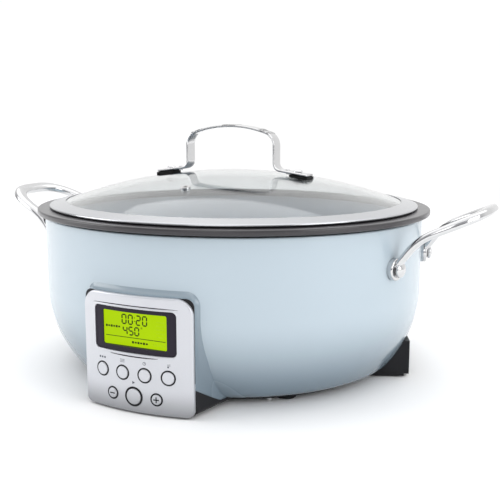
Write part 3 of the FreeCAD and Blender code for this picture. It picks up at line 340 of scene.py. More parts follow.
STOCK = {  # record slot: colour, roughness, metallic, grain per metre, bump depth in metres, coat
    "black_plastic": ((0.012, 0.012, 0.014), 0.38, 0.0, 1500.0, 0.00006, 0.1),
    "black_rubber": ((0.010, 0.010, 0.010), 0.62, 0.0, 900.0, 0.0001, 0.0),
    "well_metal": ((0.62, 0.62, 0.62), 0.34, 1.0, 1200.0, 0.00005, 0.0),
    "insulation": ((0.72, 0.68, 0.52), 0.9, 0.0, 500.0, 0.0006, 0.0),
    "cast_plate": ((0.42, 0.42, 0.43), 0.48, 1.0, 700.0, 0.0002, 0.0),
    "element_sheath": ((0.16, 0.15, 0.14), 0.5, 0.9, 900.0, 0.0001, 0.0),
    "plated_steel": ((0.60, 0.60, 0.60), 0.28, 1.0, 1600.0, 0.00004, 0.0),
    "bezel_plastic": ((0.022, 0.018, 0.028), 0.35, 0.0, 2200.0, 0.00002, 0.0),
    "circuit_board": ((0.02, 0.13, 0.05), 0.35, 0.0, 1400.0, 0.00006, 0.3),
    "switch_plastic": ((0.03, 0.03, 0.03), 0.45, 0.0, 1500.0, 0.00005, 0.0),
    "relay_plastic": ((0.03, 0.06, 0.22), 0.4, 0.0, 1300.0, 0.00005, 0.1),
    "transformer_wrap": ((0.55, 0.40, 0.05), 0.5, 0.0, 800.0, 0.0001, 0.0),
    "terminal_plastic": ((0.03, 0.22, 0.07), 0.4, 0.0, 1300.0, 0.00005, 0.1),
    "ribbon": ((0.35, 0.35, 0.37), 0.45, 0.0, 1100.0, 0.00008, 0.0),
    "lead_insulation": ((0.55, 0.50, 0.44), 0.5, 0.0, 900.0, 0.0001, 0.0),
    "fuse_body": ((0.66, 0.66, 0.62), 0.3, 1.0, 1300.0, 0.00005, 0.0),
    "spring_steel": ((0.45, 0.45, 0.46), 0.3, 1.0, 1500.0, 0.00005, 0.0),
    "print_ink": ((0.09, 0.10, 0.12), 0.5, 0.0, 2500.0, 0.00001, 0.0),
    "screen_ink": ((0.02, 0.035, 0.0), 0.5, 0.0, 2500.0, 0.00001, 0.0),
    "ghost_ink": ((0.40, 0.62, 0.0), 0.45, 0.0, 2500.0, 0.00001, 0.0),
    "mark_black": ((0.01, 0.01, 0.012), 0.4, 0.0, 2500.0, 0.00001, 0.1),
}
SPECIAL = {
    # painted shade: the housing's enamel darkens towards its foot, and the pod's enamel is painted darker all
    # over as shade, darkest at its foot
    "housing_enamel": (gloss_enamel, 0.002, 0.080, 0.32, "light_blue_enamel"),
    "pod_enamel": (gloss_enamel, -0.03, 0.26, 0.30, "pod_enamel"), "pot_coat": (pot_coating,),
    "lid_glass": (clear_glass,), "polished_steel": (polished_steel,), "band_steel": (ring_brushed_steel,),
    "panel_silver": (silver_lacquer,), "button_silver": (silver_lacquer,), "screen": (lit_screen,),
}


def finish_of(name):
    """The material for a record slot or a printed mark."""
    if name in SPECIAL:
        return material(*SPECIAL[name])
    return material(plain, name, *STOCK[name])


# ---------------------------------------------------------------- surfaces
def add_mesh(name, vertices, faces, finish, body="base", smooth=True, slot=None):
    """One object from whole arrays, riding on a body and wearing a finish."""
    mesh = bpy.data.meshes.new(name)
    mesh.from_pydata(np.asarray(vertices, float).tolist(), [], [list(map(int, face)) for face in faces])
    mesh.validate()
    mesh.polygons.foreach_set("use_smooth", np.full(len(mesh.polygons), smooth))
    piece = bpy.data.objects.new(name, mesh)
    bpy.context.collection.objects.link(piece)
    for one in finish if isinstance(finish, list) else [finish]:
        mesh.materials.append(one)
    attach(piece, body)
    return piece


def grid_faces(rows, columns, wrap_rows, wrap_columns, offset=0):
    """Quads between neighbouring points of a rows by columns grid, closed round either way."""
    row, column = np.meshgrid(np.arange(rows if wrap_rows else rows - 1),
                              np.arange(columns if wrap_columns else columns - 1), indexing="ij")
    below, beside = (row + 1) % rows, (column + 1) % columns
    quads = np.stack([row * columns + column, row * columns + beside, below * columns + beside,
                      below * columns + column], axis=-1)
    return quads.reshape(-1, 4) + offset


def rounded(corners, steps=6):
    """Sampled outline of a closed polygon whose corners (x, z, radius) are replaced by tangent arcs.

    An arc's centre lies on the corner's bisector, radius / sin(half angle) from it, and a sample stands on
    each straight just before and after the arc, so that the straights shade flat."""
    corners = np.asarray(corners, float)
    points = []
    for before, here, after in zip(np.roll(corners, 1, 0), corners, np.roll(corners, -1, 0)):
        spot, radius = here[:2], here[2]
        back, ahead = before[:2] - spot, after[:2] - spot
        back_length, ahead_length = np.linalg.norm(back), np.linalg.norm(ahead)
        back, ahead = back / back_length, ahead / ahead_length
        half = math.acos(float(np.clip(back @ ahead, -1, 1))) / 2
        if radius <= 0 or half > 1.54:
            points.append(spot)
            continue
        setback = radius / math.tan(half)
        bisector = (back + ahead) / np.linalg.norm(back + ahead)
        centre = spot + bisector * radius / math.sin(half)
        start, end = spot + back * setback - centre, spot + ahead * setback - centre
        first, last = math.atan2(start[1], start[0]), math.atan2(end[1], end[0])
        turn = (last - first + math.pi) % (2 * math.pi) - math.pi
        angles = first + turn * np.linspace(0, 1, steps + 1)
        lead_in = min(radius * 0.6, 0.4 * (back_length - setback)) if back_length > setback else 0
        lead_out = min(radius * 0.6, 0.4 * (ahead_length - setback)) if ahead_length > setback else 0
        if lead_in > 0:
            points.append(spot + back * (setback + lead_in))
        points.extend(centre + radius * np.column_stack([np.cos(angles), np.sin(angles)]))
        if lead_out > 0:
            points.append(spot + ahead * (setback + lead_out))
    return np.array(points)


def oval_turn(name, profile, finish, body, slot, around=256, closed=True, finish_index=None):
    """A profile (radius, height) carried round the oval.

    The point at angle t is (r cos t, centre + oval ratio * r sin t, z). Radii under a micrometre meet in one
    pole, so a profile that starts and ends on the axis closes there."""
    profile = np.asarray(profile, float)
    angle = np.linspace(0, 2 * math.pi, around, endpoint=False)
    radius, height = profile[:, :1], profile[:, 1:]
    vertices = np.stack([radius * np.cos(angle), CENTRE_Y + OVAL * radius * np.sin(angle),
                         np.broadcast_to(height, (len(profile), around))], axis=-1).reshape(-1, 3)
    faces = grid_faces(len(profile), around, closed, True)
    piece = add_mesh(name, vertices, faces, finish, body, True, slot)
    if finish_index is not None:
        rows = faces[:, 0] // around
        piece.data.polygons.foreach_set("material_index", np.asarray(finish_index)[rows].astype(int))
    weld(piece)
    return piece


def weld(piece):
    """Merges coincident points, such as a pole's, and points the faces outwards."""
    work = bmesh.new()
    work.from_mesh(piece.data)
    bmesh.ops.remove_doubles(work, verts=work.verts, dist=1e-7)
    bmesh.ops.dissolve_degenerate(work, dist=1e-8, edges=work.edges)
    bmesh.ops.recalc_face_normals(work, faces=work.faces)
    work.to_mesh(piece.data)
    work.free()


def welded(name, shape, slot, body="base"):
    """A smooth piece from (vertices, faces) in its record slot's finish, its coincident points merged."""
    piece = add_mesh(name, *shape, finish_of(slot), body, True, slot)
    weld(piece)
    return piece


def arc(centre, radius, first, last, steps):
    """Points on an arc between two angles in degrees."""
    angle = np.radians(np.linspace(first, last, steps))
    return np.column_stack([centre[0] + radius * np.cos(angle), centre[1] + radius * np.sin(angle)])


def turned_piece(profile, origin, outward, around=48):
    """Vertices and faces of a profile (radius, height) turned about an axis through origin along outward."""
    profile = np.asarray(profile, float)
    outward = np.asarray(outward, float) / np.linalg.norm(outward)
    helper = np.array([0.0, 0.0, 1.0]) if abs(outward[2]) < 0.9 else np.array([1.0, 0.0, 0.0])
    side = np.cross(helper, outward)
    side /= np.linalg.norm(side)
    other = np.cross(outward, side)
    angle = np.linspace(0, 2 * math.pi, around, endpoint=False)
    ring = np.cos(angle)[:, None] * side + np.sin(angle)[:, None] * other
    vertices = (np.asarray(origin) + profile[:, None, :1] * ring[None]
                + profile[:, None, 1:] * outward).reshape(-1, 3)
    return vertices, grid_faces(len(profile), around, False, True)


def joined(parts):
    """Several (vertices, faces) pairs as one."""
    vertices, faces, offset = [], [], 0
    for some_vertices, some_faces in parts:
        vertices.append(some_vertices)
        faces.extend([[index + offset for index in face] for face in some_faces])
        offset += len(some_vertices)
    return np.concatenate(vertices), faces


def swept(points, across, lift, half_width, half_thick, power, around=28):
    """A bar along points.

    Its section is a superellipse |a/w|^p + |b/h|^p = 1 in the across and lift directions."""
    angle = np.linspace(0, 2 * math.pi, around, endpoint=False)
    a = np.sign(np.cos(angle)) * np.abs(np.cos(angle)) ** (2 / power)
    b = np.sign(np.sin(angle)) * np.abs(np.sin(angle)) ** (2 / power)
    half_width = np.broadcast_to(half_width, len(points))[:, None, None]
    half_thick = np.broadcast_to(half_thick, len(points))[:, None, None]
    vertices = (points[:, None] + half_width * a[None, :, None] * across[:, None]
                + half_thick * b[None, :, None] * lift[:, None])
    faces = grid_faces(len(points), around, False, True).tolist()
    last = (len(points) - 1) * around
    faces.append(list(range(around))[::-1])
    faces.append([last + index for index in range(around)])
    return vertices.reshape(-1, 3), faces


def plate(outline, front, depth):
    """Vertices and faces of a flat tile: an outline (x, z) from the plane y = front back by depth."""
    outline = np.asarray(outline, float)
    count = len(outline)
    area = np.sum(outline[:, 0] * np.roll(outline[:, 1], -1) - np.roll(outline[:, 0], -1) * outline[:, 1])
    if area < 0:
        outline = outline[::-1]
    near = np.column_stack([outline[:, 0], np.full(count, front), outline[:, 1]])
    far = near + [0, depth, 0]
    index = np.arange(count)
    following = (index + 1) % count
    sides = np.column_stack([index, index + count, following + count, following]).tolist()
    return np.concatenate([near, far]), [index.tolist(), (index + count)[::-1].tolist()] + sides


def on_panel(vertices, proud=0.0):
    """Points (x, y, z) drawn on the flat, wrapped on the panel's cylinder.

    x becomes an arc length round it, and y, measured back from the panel's front, a depth below it."""
    vertices = np.array(vertices, float)
    angle = vertices[:, 0] / PANEL_RADIUS
    radius = PANEL_RADIUS + proud - vertices[:, 1]
    return np.column_stack([radius * np.sin(angle), PANEL_AXIS - radius * np.cos(angle), vertices[:, 2]])


def bar(x0, z0, x1, z1, width):
    """Outline of a straight stroke between two points."""
    along = np.array([x1 - x0, z1 - z0], float)
    along /= np.linalg.norm(along)
    aside = np.array([-along[1], along[0]]) * width / 2
    start, end = np.array([x0, z0]), np.array([x1, z1])
    return np.array([start - aside, end - aside, end + aside, start + aside])


# ---------------------------------------------------------------- shared measures of the panel, in metres
PITCH = 0.021
UPPER_ROW, LOWER_ROW = 0.034, 0.015
UPPER_CAP, SMALL_CAP, START_CAP = 0.0052, 0.0042, 0.0066
UPPER_SHADE_RING, SMALL_SHADE_RING, START_SHADE_RING = 0.0013, 0.00135, 0.0018
BUTTONS = {  # button: column in pitches, height, cap radius, how far its black ring of painted shade reaches past the cap
    "mode": (-1.5, UPPER_ROW, UPPER_CAP, UPPER_SHADE_RING), "menu": (-0.5, UPPER_ROW, UPPER_CAP, UPPER_SHADE_RING),
    "time": (0.5, UPPER_ROW, UPPER_CAP, UPPER_SHADE_RING), "temp": (1.5, UPPER_ROW, UPPER_CAP, UPPER_SHADE_RING),
    "minus": (-1, LOWER_ROW, SMALL_CAP, SMALL_SHADE_RING), "plus": (1, LOWER_ROW, SMALL_CAP, SMALL_SHADE_RING),
    "start": (0, LOWER_ROW, START_CAP, START_SHADE_RING),
}
SCREEN_HALF, SCREEN_LOW, SCREEN_HIGH = 0.0302, 0.0557, 0.0846
# lit segments: a top, b upper right, c lower right, d bottom, e lower left, f upper left, g middle
SEGMENTS = {
    "0": "abcdef", "2": "abged", "4": "fgbc", "5": "afgcd",
}


def figure(character, left, bottom, width, height, stroke):
    """The lit segments of one screen figure as outlines with mitred ends."""
    gap, half = stroke * 0.12, stroke / 2
    right, top, centre = left + width, bottom + height, bottom + height / 2
    ends = {
        "a": (left, top, right, top), "b": (right, top, right, centre), "c": (right, centre, right, bottom),
        "d": (left, bottom, right, bottom), "e": (left, bottom, left, centre), "f": (left, centre, left, top),
        "g": (left, centre, right, centre),
    }
    outlines = []
    for name in SEGMENTS[character]:
        x0, z0, x1, z1 = ends[name]
        along = np.array([x1 - x0, z1 - z0], float)
        along /= np.linalg.norm(along)
        aside = np.array([-along[1], along[0]])
        start, end = np.array([x0, z0]) + along * gap, np.array([x1, z1]) - along * gap
        inner_start, inner_end, side = start + along * half, end - along * half, aside * half
        outlines.append(np.array([start, inner_start - side, inner_end - side, end,
                                  inner_end + side, inner_start + side]))
    return outlines


# ---------------------------------------------------------------- the housing and the pod, as functions
WALL_KNEE, WALL_ARC, HEEL_ARC = 0.0813, 0.110, 0.020
HEEL_START, HEEL_CENTRE_R, HEEL_CENTRE_Z = 0.0133, 0.1437, 0.0257
POD_HALF, POD_LOW, POD_HIGH = 0.0516, 0.0015, 0.099
POD_BACK = -0.1106
SPLIT_HIGH, SPLIT_LOW, SPLIT_FROM, SPLIT_SLOPE = 0.0265, 0.0080, -0.1726, 0.565


def wall_radius(z):
    """Half length of the oval housing at a height: upright to the knee, then the big arc, then the heel."""
    z = np.asarray(z, float)
    below = WALL_KNEE - np.minimum(z, WALL_KNEE)
    big = WALL_HALF - WALL_ARC + np.sqrt(np.maximum(WALL_ARC ** 2 - below ** 2, 0))
    heel = HEEL_CENTRE_R + np.sqrt(np.maximum(HEEL_ARC ** 2 - (HEEL_CENTRE_Z - z) ** 2, 0))
    return np.where(z >= HEEL_START, big, heel)


def wall_front(x, z):
    """The y of the housing's front surface at (x, z): centre - oval ratio * sqrt(R(z)^2 - x^2)."""
    return CENTRE_Y - OVAL * np.sqrt(np.maximum(wall_radius(z) ** 2 - np.asarray(x) ** 2, 0))


def panel_back(x, recess):
    """The y of the cylinder that lies a recess behind the control panel's front."""
    radius = PANEL_RADIUS - recess
    return PANEL_AXIS - np.sqrt(radius ** 2 - np.asarray(x) ** 2)


def split_height(y):
    """Height of the line where the pod's enamel gives way to its black base, falling towards the back."""
    return np.clip(SPLIT_HIGH - SPLIT_SLOPE * (y - SPLIT_FROM), SPLIT_LOW, SPLIT_HIGH)


def corner(centre, radius, first, last, count):
    """A corner arc with its outward normals, as rows of (x, z, nx, nz)."""
    angle = np.radians(np.linspace(first, last, count))
    normal = np.column_stack([np.cos(angle), np.sin(angle)])
    return np.column_stack([np.asarray(centre) + radius * normal, normal])


def side_wall(x, low, high, count, normal):
    """An upright straight of the outline; its heights are filled in from low to high."""
    height = low + (high - low) * np.linspace(0, 1, count)
    return np.column_stack([np.full(count, x), height, np.full(count, normal), np.zeros(count)])


def pod_outline(part, split_right, split_left):
    """Rows of (x, z, nx, nz) round the fairing, over the top, or round the base, under the foot."""
    top, foot, count = 0.007, 0.006, 14
    if part == "fairing":
        rows = [side_wall(POD_HALF, split_right, POD_HIGH - top, 26, 1)[:-1],
                corner((POD_HALF - top, POD_HIGH - top), top, 0, 90, count)[:-1],
                [(x, POD_HIGH, 0, 1) for x in np.linspace(POD_HALF - top, top - POD_HALF, 34)[:-1]],
                corner((top - POD_HALF, POD_HIGH - top), top, 90, 180, count)[:-1],
                side_wall(-POD_HALF, POD_HIGH - top, split_left, 26, -1)]
    else:
        rows = [side_wall(-POD_HALF, split_left, POD_LOW + foot, 10, -1)[:-1],
                corner((foot - POD_HALF, POD_LOW + foot), foot, 180, 270, count)[:-1],
                [(x, POD_LOW, 0, -1) for x in np.linspace(foot - POD_HALF, POD_HALF - foot, 30)[:-1]],
                corner((POD_HALF - foot, POD_LOW + foot), foot, 270, 360, count)[:-1],
                side_wall(POD_HALF, POD_LOW + foot, split_right, 10, 1)]
    return np.concatenate([np.asarray(row, float) for row in rows])


def pod_skin(part, recess=3.0 * MM, depth_rows=30):
    """Vertices and faces of the pod's skin, from behind the panel back to the housing.

    Row v runs from the panel's back to the housing's front, or for the base to one depth under the housing. A
    point keeps its place in the outline, whose ends follow the split line, and moves outwards by a slow splay
    and, on the fairing, by a hollow quarter ellipse that fades out towards the foot:
    offset = splay * way back + hollow * (1 - sqrt(1 - w^2)), where w goes from 0 to 1 over the last stretch.
    The wall is met where the whole offset reaches, so the depth is settled by a few repeated rounds."""
    rows = []
    flare, flare_from, flare_over, sink = 9.0 * MM, 8 * MM, 45 * MM, 0.8 * MM
    foot_splay, splay_loss, splay_over = 0.25, 0.135, 60 * MM
    lowest_meeting, longest_hollow, settling_rounds = 8.5 * MM, 12 * MM, 6
    for v in np.linspace(0, 1, depth_rows) ** 0.8:
        split, depth = np.array([SPLIT_HIGH, SPLIT_HIGH]), 0.0
        for _ in range(settling_rounds):
            line = pod_outline(part, split[0], split[1])
            x, z, nx, nz = line.T
            start = panel_back(x, recess)
            fade = np.clip((z - flare_from) / flare_over, 0, 1)
            hollow = flare * fade ** 2 * (3 - 2 * fade) if part == "fairing" else 0 * z
            splay = foot_splay - splay_loss * np.clip(z / splay_over, 0, 1)
            reach = hollow + splay * depth
            reach_x, reach_z = x + nx * reach, z + np.maximum(nz, 0) * reach
            wall = wall_front(reach_x, np.maximum(reach_z, lowest_meeting)) + sink
            end = wall if part == "fairing" else POD_BACK
            depth = end - start
            y = start + v * depth
            ends = (0, -1) if part == "fairing" else (-1, 0)
            split = split_height(y[list(ends)])
        stretch = np.minimum(depth * 0.8, longest_hollow)
        w = np.clip((y - (end - stretch)) / stretch, 0, 1)
        offset = splay * (y - start) + hollow * (1 - np.sqrt(1 - w ** 2))
        rows.append(np.column_stack([x + nx * offset, y, z + np.maximum(nz, 0) * offset]))
    rows = np.array(rows)
    return rows.reshape(-1, 3), grid_faces(len(rows), rows.shape[1], False, False)


def thicken(piece, thickness, offset=-1.0):
    """Gives an open skin a wall, inwards unless the offset says otherwise."""
    wall = piece.modifiers.new("wall", "SOLIDIFY")
    wall.thickness, wall.offset = thickness, offset
    return piece


def resampled(points, count):
    """A polyline at evenly spaced distances along it."""
    points = np.asarray(points, float)
    length = np.concatenate([[0], np.cumsum(np.linalg.norm(np.diff(points, axis=0), axis=1))])
    wanted = np.linspace(0, length[-1], count)
    return np.column_stack([np.interp(wanted, length, points[:, k]) for k in range(points.shape[1])])


BEND_X, BEND_Z, BEND_RADIUS, BEND_END, LOOP_SLOPE = 0.229, 0.098, 0.050, 0.2087, 0.445
EYELET_RADIUS, EYELET_TURN = 0.0096, 0.297


def loop_height(x):
    """Height of the side loop's middle line at x from the cooker's middle: an arc, then a straight."""
    across = BEND_X - np.minimum(x, BEND_END)
    bend = BEND_Z + np.sqrt(np.maximum(BEND_RADIUS ** 2 - across ** 2, 0))
    return bend + np.maximum(x - BEND_END, 0) * LOOP_SLOPE


def eyelets(side):
    """The middle and the outward direction of a side handle's two eyelets."""
    for way in (-1, 1):
        outward = np.array([side * math.cos(EYELET_TURN), way * math.sin(EYELET_TURN), 0])
        yield np.array([side * 0.1757, CENTRE_Y + way * 0.048, 0.112]), outward


def side_loop(side):
    """Vertices and faces of one side handle's strap.

    In plan it follows the superellipse |y/b|^p + |(x - root)/a|^p = 1, evenly spaced; in height, loop_height.
    The section is a superellipse, thin square to that side profile, that swells towards the tip."""
    power, root, reach, half, lowest = 3.0, 0.1735, 0.2446, 0.0482, 0.1125
    angle = np.linspace(-math.pi / 2, math.pi / 2, 721)
    x = root + (reach - root) * np.abs(np.cos(angle)) ** (2 / power)
    y = half * np.sign(angle) * np.abs(np.sin(angle)) ** (2 / power)
    z = loop_height(x)
    points = np.column_stack([x, y, z])
    points = resampled(points[z > lowest], 160)
    step = 0.01 * MM
    slope = (loop_height(points[:, 0] + step) - loop_height(points[:, 0] - step)) / (2 * step)
    lift = np.column_stack([-slope, np.zeros_like(slope), np.ones_like(slope)])
    lift /= np.linalg.norm(lift, axis=1)[:, None]
    tangent = np.gradient(points, axis=0)
    tangent /= np.linalg.norm(tangent, axis=1)[:, None]
    across = np.cross(tangent, lift)
    across /= np.linalg.norm(across, axis=1)[:, None]
    lift = np.cross(across, tangent)
    tip = np.clip((points[:, 0] - 0.20) / 0.045, 0, 1)
    settle = np.clip((0.126 - points[:, 2]) / 0.014, 0, 1)  # the root eases inwards onto its eyelet
    points[:, 0] -= 2.4 * MM * settle ** 2 * (3 - 2 * settle)
    half_width = 6.2 * MM + 0.2 * MM * tip
    half_thick = 3.3 * MM + 0.9 * MM * tip
    mirror = [side, 1, 1]
    points = points * mirror + [0, CENTRE_Y, 0]
    return swept(points, across * mirror, lift * mirror, half_width, half_thick, 2.7, 32)


DOME_RADIUS = 0.4918


def dome_top(x):
    """Height of the lid glass's outside at a distance from its middle, a cap of a sphere."""
    return DOME_TOP - DOME_RADIUS + np.sqrt(DOME_RADIUS ** 2 - np.asarray(x, float) ** 2)


def lid_strap():
    """Vertices and faces of the lid handle's strap: flat feet, two posts and a bowed top, joined by arcs."""
    foot, post, flat = 0.0805, 0.0465, 0.020
    foot_z, corner_z = float(dome_top(foot)) + 4.0 * MM, float(dome_top(post)) + 4.2 * MM
    crown = STRAP_TOP - sizes().strap_thick / 2
    shoulder = crown - 9.2 * MM
    half = [(foot, foot_z, 0), (post, corner_z, 7 * MM), (post, shoulder, 13 * MM), (flat, crown, 0.115)]
    route = [(-x, z, r) for x, z, r in half] + half[::-1]
    line = resampled(rounded(route, 18), 300)
    points = np.column_stack([line[:, 0], np.full(len(line), CENTRE_Y), line[:, 1]])
    tangent = np.gradient(line, axis=0)
    tangent /= np.linalg.norm(tangent, axis=1)[:, None]
    across = np.tile([0.0, 1.0, 0.0], (len(line), 1))
    lift = np.column_stack([-tangent[:, 1], np.zeros(len(line)), tangent[:, 0]])
    return swept(points, across, lift, sizes().strap_width / 2, sizes().strap_thick / 2, 3.2, 40)


def crescent(middle_z, reach, height, proud):
    """Vertices and faces of a raised crescent on the panel, widest in its middle and fading to its tips.

    At arc length x its width is height * sqrt(1 - (x / reach)^2), and its section is a flat ellipse."""
    x = np.linspace(-reach, reach, 81) * 0.999
    fade = np.sqrt(1 - (x / reach) ** 2)
    bow = np.sign(middle_z - (SCREEN_LOW + SCREEN_HIGH) / 2) * height * (fade - 1) * 0.8
    flat = np.column_stack([x, np.zeros_like(x), middle_z + bow])
    angle = x / PANEL_RADIUS
    outward = np.column_stack([np.sin(angle), -np.cos(angle), np.zeros_like(x)])
    upright = np.tile([0.0, 0.0, 1.0], (len(x), 1))
    half_width, half_thick = height / 2 * fade + 0.05 * MM, proud * fade + 0.03 * MM
    return swept(on_panel(flat), upright, outward, half_width, half_thick, 2.0, 20)


def disc(x, z, radius, count=24):
    angle = np.linspace(0, 2 * math.pi, count, endpoint=False)
    return np.column_stack([x + radius * np.cos(angle), z + radius * np.sin(angle)])


def ring_strokes(x, z, radius, width, count=20):
    """A circle drawn as short strokes."""
    angle = np.linspace(0, 2 * math.pi, count + 1)
    spots = np.column_stack([x + radius * np.cos(angle), z + radius * np.sin(angle)])
    return [bar(*start, *end, width) for start, end in zip(spots[:-1], spots[1:])]


def pictograms():
    """Outlines (arc length, height) of the plain signs over the buttons."""
    ink, tall = 0.38 * MM, 1.3 * MM
    upper, lower = 0.0440, 0.0268
    outlines = []
    x = -1.5 * PITCH
    for step in (-2.6, 0, 2.6):
        outlines.append(bar(x + step * MM - 0.8 * MM, upper, x + step * MM + 0.8 * MM, upper, 1.6 * MM))
    x = -0.5 * PITCH
    for step in (-1, 0, 1):
        z = upper + step * 1.05 * MM
        outlines.append(bar(x - 2.3 * MM, z, x + 2.3 * MM, z, ink))
    x = 0.5 * PITCH
    outlines += ring_strokes(x, upper, tall, ink)
    outlines += [bar(x, upper, x, upper + 0.95 * MM, ink), bar(x, upper, x + 0.75 * MM, upper, ink)]
    x = 1.5 * PITCH
    bulb = upper - 0.9 * MM
    outlines += [disc(x, bulb, 0.75 * MM), bar(x, bulb, x, upper + 1.5 * MM, 0.6 * MM)]
    outlines += [bar(x + 1.0 * MM, upper + k * 0.7 * MM, x + 1.9 * MM, upper + k * 0.7 * MM, 0.3 * MM)
                 for k in (0, 1, 2)]
    outlines.append(np.array([(-1.1 * MM, lower - tall), (1.5 * MM, lower), (-1.1 * MM, lower + tall)]))
    return outlines


# ---------------------------------------------------------------- operators
class CookerFinishes(bpy.types.Operator):
    """Gives every CAD node the finish of its material slot"""
    bl_idname = "cooker.finishes"
    bl_label = "Finishes"

    def execute(self, context):
        for part in RECORD["subparts"]:
            mesh = frame["nodes"][part["node"]].data
            mesh.materials.clear()
            mesh.materials.append(finish_of(part["material_slot"]))
        return {"FINISHED"}


class CookerScreen(bpy.types.Operator):
    """Draws the time, the temperature and generic marks on the screen"""
    bl_idname = "cooker.screen"
    bl_label = "Screen"

    def execute(self, context):
        width, height = 2 * SCREEN_HALF, SCREEN_HIGH - SCREEN_LOW
        front, depth = SCREEN_FRONT - 0.06 * MM, 0.09 * MM
        stroke, hair, rule, dot = 1.15 * MM, 0.28 * MM, 0.55 * MM, 0.8 * MM

        def spot(u, v):
            return -SCREEN_HALF + u * width, SCREEN_HIGH - v * height

        outlines = []
        for u, character in ((0.295, "0"), (0.395, "0"), (0.520, "2"), (0.620, "0")):
            left, bottom = spot(u, 0.365)
            outlines += figure(character, left, bottom, 0.062 * width, 0.26 * height, stroke)
        for v in (0.17, 0.27):
            x, z = spot(0.492, v)
            outlines.append(bar(x - 0.35 * MM, z, x + 0.35 * MM, z, dot))
        for u, character in ((0.310, "4"), (0.402, "5"), (0.494, "0")):
            left, bottom = spot(u, 0.675)
            outlines += figure(character, left, bottom, 0.060 * width, 0.225 * height, stroke)
        x, z = spot(0.600, 0.445)
        for side in (-0.5 * MM, 0.5 * MM):
            outlines.append(bar(x + side, z - 0.5 * MM, x + side, z + 0.5 * MM, hair))
            outlines.append(bar(x - 0.5 * MM, z + side, x + 0.5 * MM, z + side, hair))
        left, line = spot(0.03, 0.755)
        outlines.append(bar(left, line, spot(0.97, 0)[0], line, rule))
        for u0, u1, v in ((0.03, 0.27, 0.475), (0.445, 0.705, 0.88)):
            x0, z0 = spot(u0, v)
            x1 = spot(u1, v)[0]
            blocks = 6
            step = (x1 - x0) / blocks
            for index in range(blocks):
                tall = (1.0 if index % 2 == 0 else 0.72) * 1.9 * MM
                outlines.append(bar(x0 + step * index, z0, x0 + step * (index + 0.72), z0, tall))
        ink = add_mesh("screen_figures", *joined([plate(o, front, depth) for o in outlines]),
                       finish_of("screen_ink"), "base", False)
        ghosts = []
        for row in range(5):
            x0, z0 = spot(0.83, 0.22 + 0.105 * row)
            ghosts.append(bar(x0, z0, spot(0.965, 0)[0], z0, 0.9 * MM))
        for column in range(5):
            x0, z0 = spot(0.775 + 0.042 * column, 0.88)
            ghosts.append(bar(x0, z0, x0 + 1.6 * MM, z0, 1.3 * MM))
        add_mesh("screen_unlit_marks", *joined([plate(o, front + 0.02 * MM, depth) for o in ghosts]),
                 finish_of("ghost_ink"), "base", False)
        return {"FINISHED"}


class CookerButtons(bpy.types.Operator):
    """Turns the button caps with rounded rims, marks the two small ones and prints signs over the rest"""
    bl_idname = "cooker.buttons"
    bl_label = "Buttons and marks"

    def execute(self, context):
        proud = sizes().cap_proud
        rings = []
        for name, (column, height, cap, ring) in BUTTONS.items():
            angle = column * PITCH / PANEL_RADIUS
            outward = np.array([math.sin(angle), -math.cos(angle), 0])
            origin = np.array([0, PANEL_AXIS, height]) + PANEL_RADIUS * outward
            rim, bow, foot = 0.7 * MM, 0.09 * MM, -2.6 * MM
            edge = arc((cap - rim, proud - rim), rim, 0, 90, 7)
            crown = np.column_stack([np.linspace(cap - rim, 0, 10)[1:], np.full(9, proud)])
            crown[:, 1] += bow * (1 - (crown[:, 0] / (cap - rim)) ** 2)
            skirt = [(0, foot), (cap, foot), (cap, foot + 0.2 * MM), (cap, -rim)]
            profile = np.concatenate([skirt, edge, crown])
            shape = turned_piece(profile, origin, outward, 64)
            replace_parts(welded("cap_" + name, shape, "button_silver", "key_" + name), "button_" + name)
            # black rings round the caps: painted shade in the wells the caps sit in
            inner, outer, root, crest, soft = cap + 0.15 * MM, cap + ring, -1.2 * MM, 0.22 * MM, 0.15 * MM
            shade_hoop = rounded([(inner, root, 0), (inner, crest, soft),
                            (outer, crest, soft), (outer, root, 0)], 4)
            shade_hoop = np.concatenate([shade_hoop, shade_hoop[:1]])
            rings.append(turned_piece(shade_hoop, origin, outward, 64))
            if name in ("minus", "plus"):
                long, broad = 2.5 * MM, 0.95 * MM
                strokes = [bar(-long, 0, long, 0, broad)]
                if name == "plus":
                    strokes.append(bar(0, -long, 0, long, broad))
                marks = []
                side = np.array([math.cos(angle), math.sin(angle), 0])
                for stroke in strokes:
                    flat, faces = plate(stroke, -0.20 * MM, 0.3 * MM)
                    lifted = (origin + outward * proud + flat[:, :1] * side - flat[:, 1:2] * outward
                              + flat[:, 2:] * np.array([0, 0, 1]))
                    marks.append((lifted, faces))
                add_mesh("sign_" + name, *joined(marks), finish_of("mark_black"), "key_" + name, False)
        # the black rings are painted shade of the button wells
        add_mesh("button_shade_rings", *joined(rings), finish_of("black_plastic"), "base", True, "black_plastic")
        signs = []
        for outline in pictograms():
            flat, faces = plate(outline, -0.03 * MM, 0.2 * MM)
            signs.append((on_panel(flat), faces))
        add_mesh("panel_signs", *joined(signs), finish_of("print_ink"), "base", False)
        return {"FINISHED"}


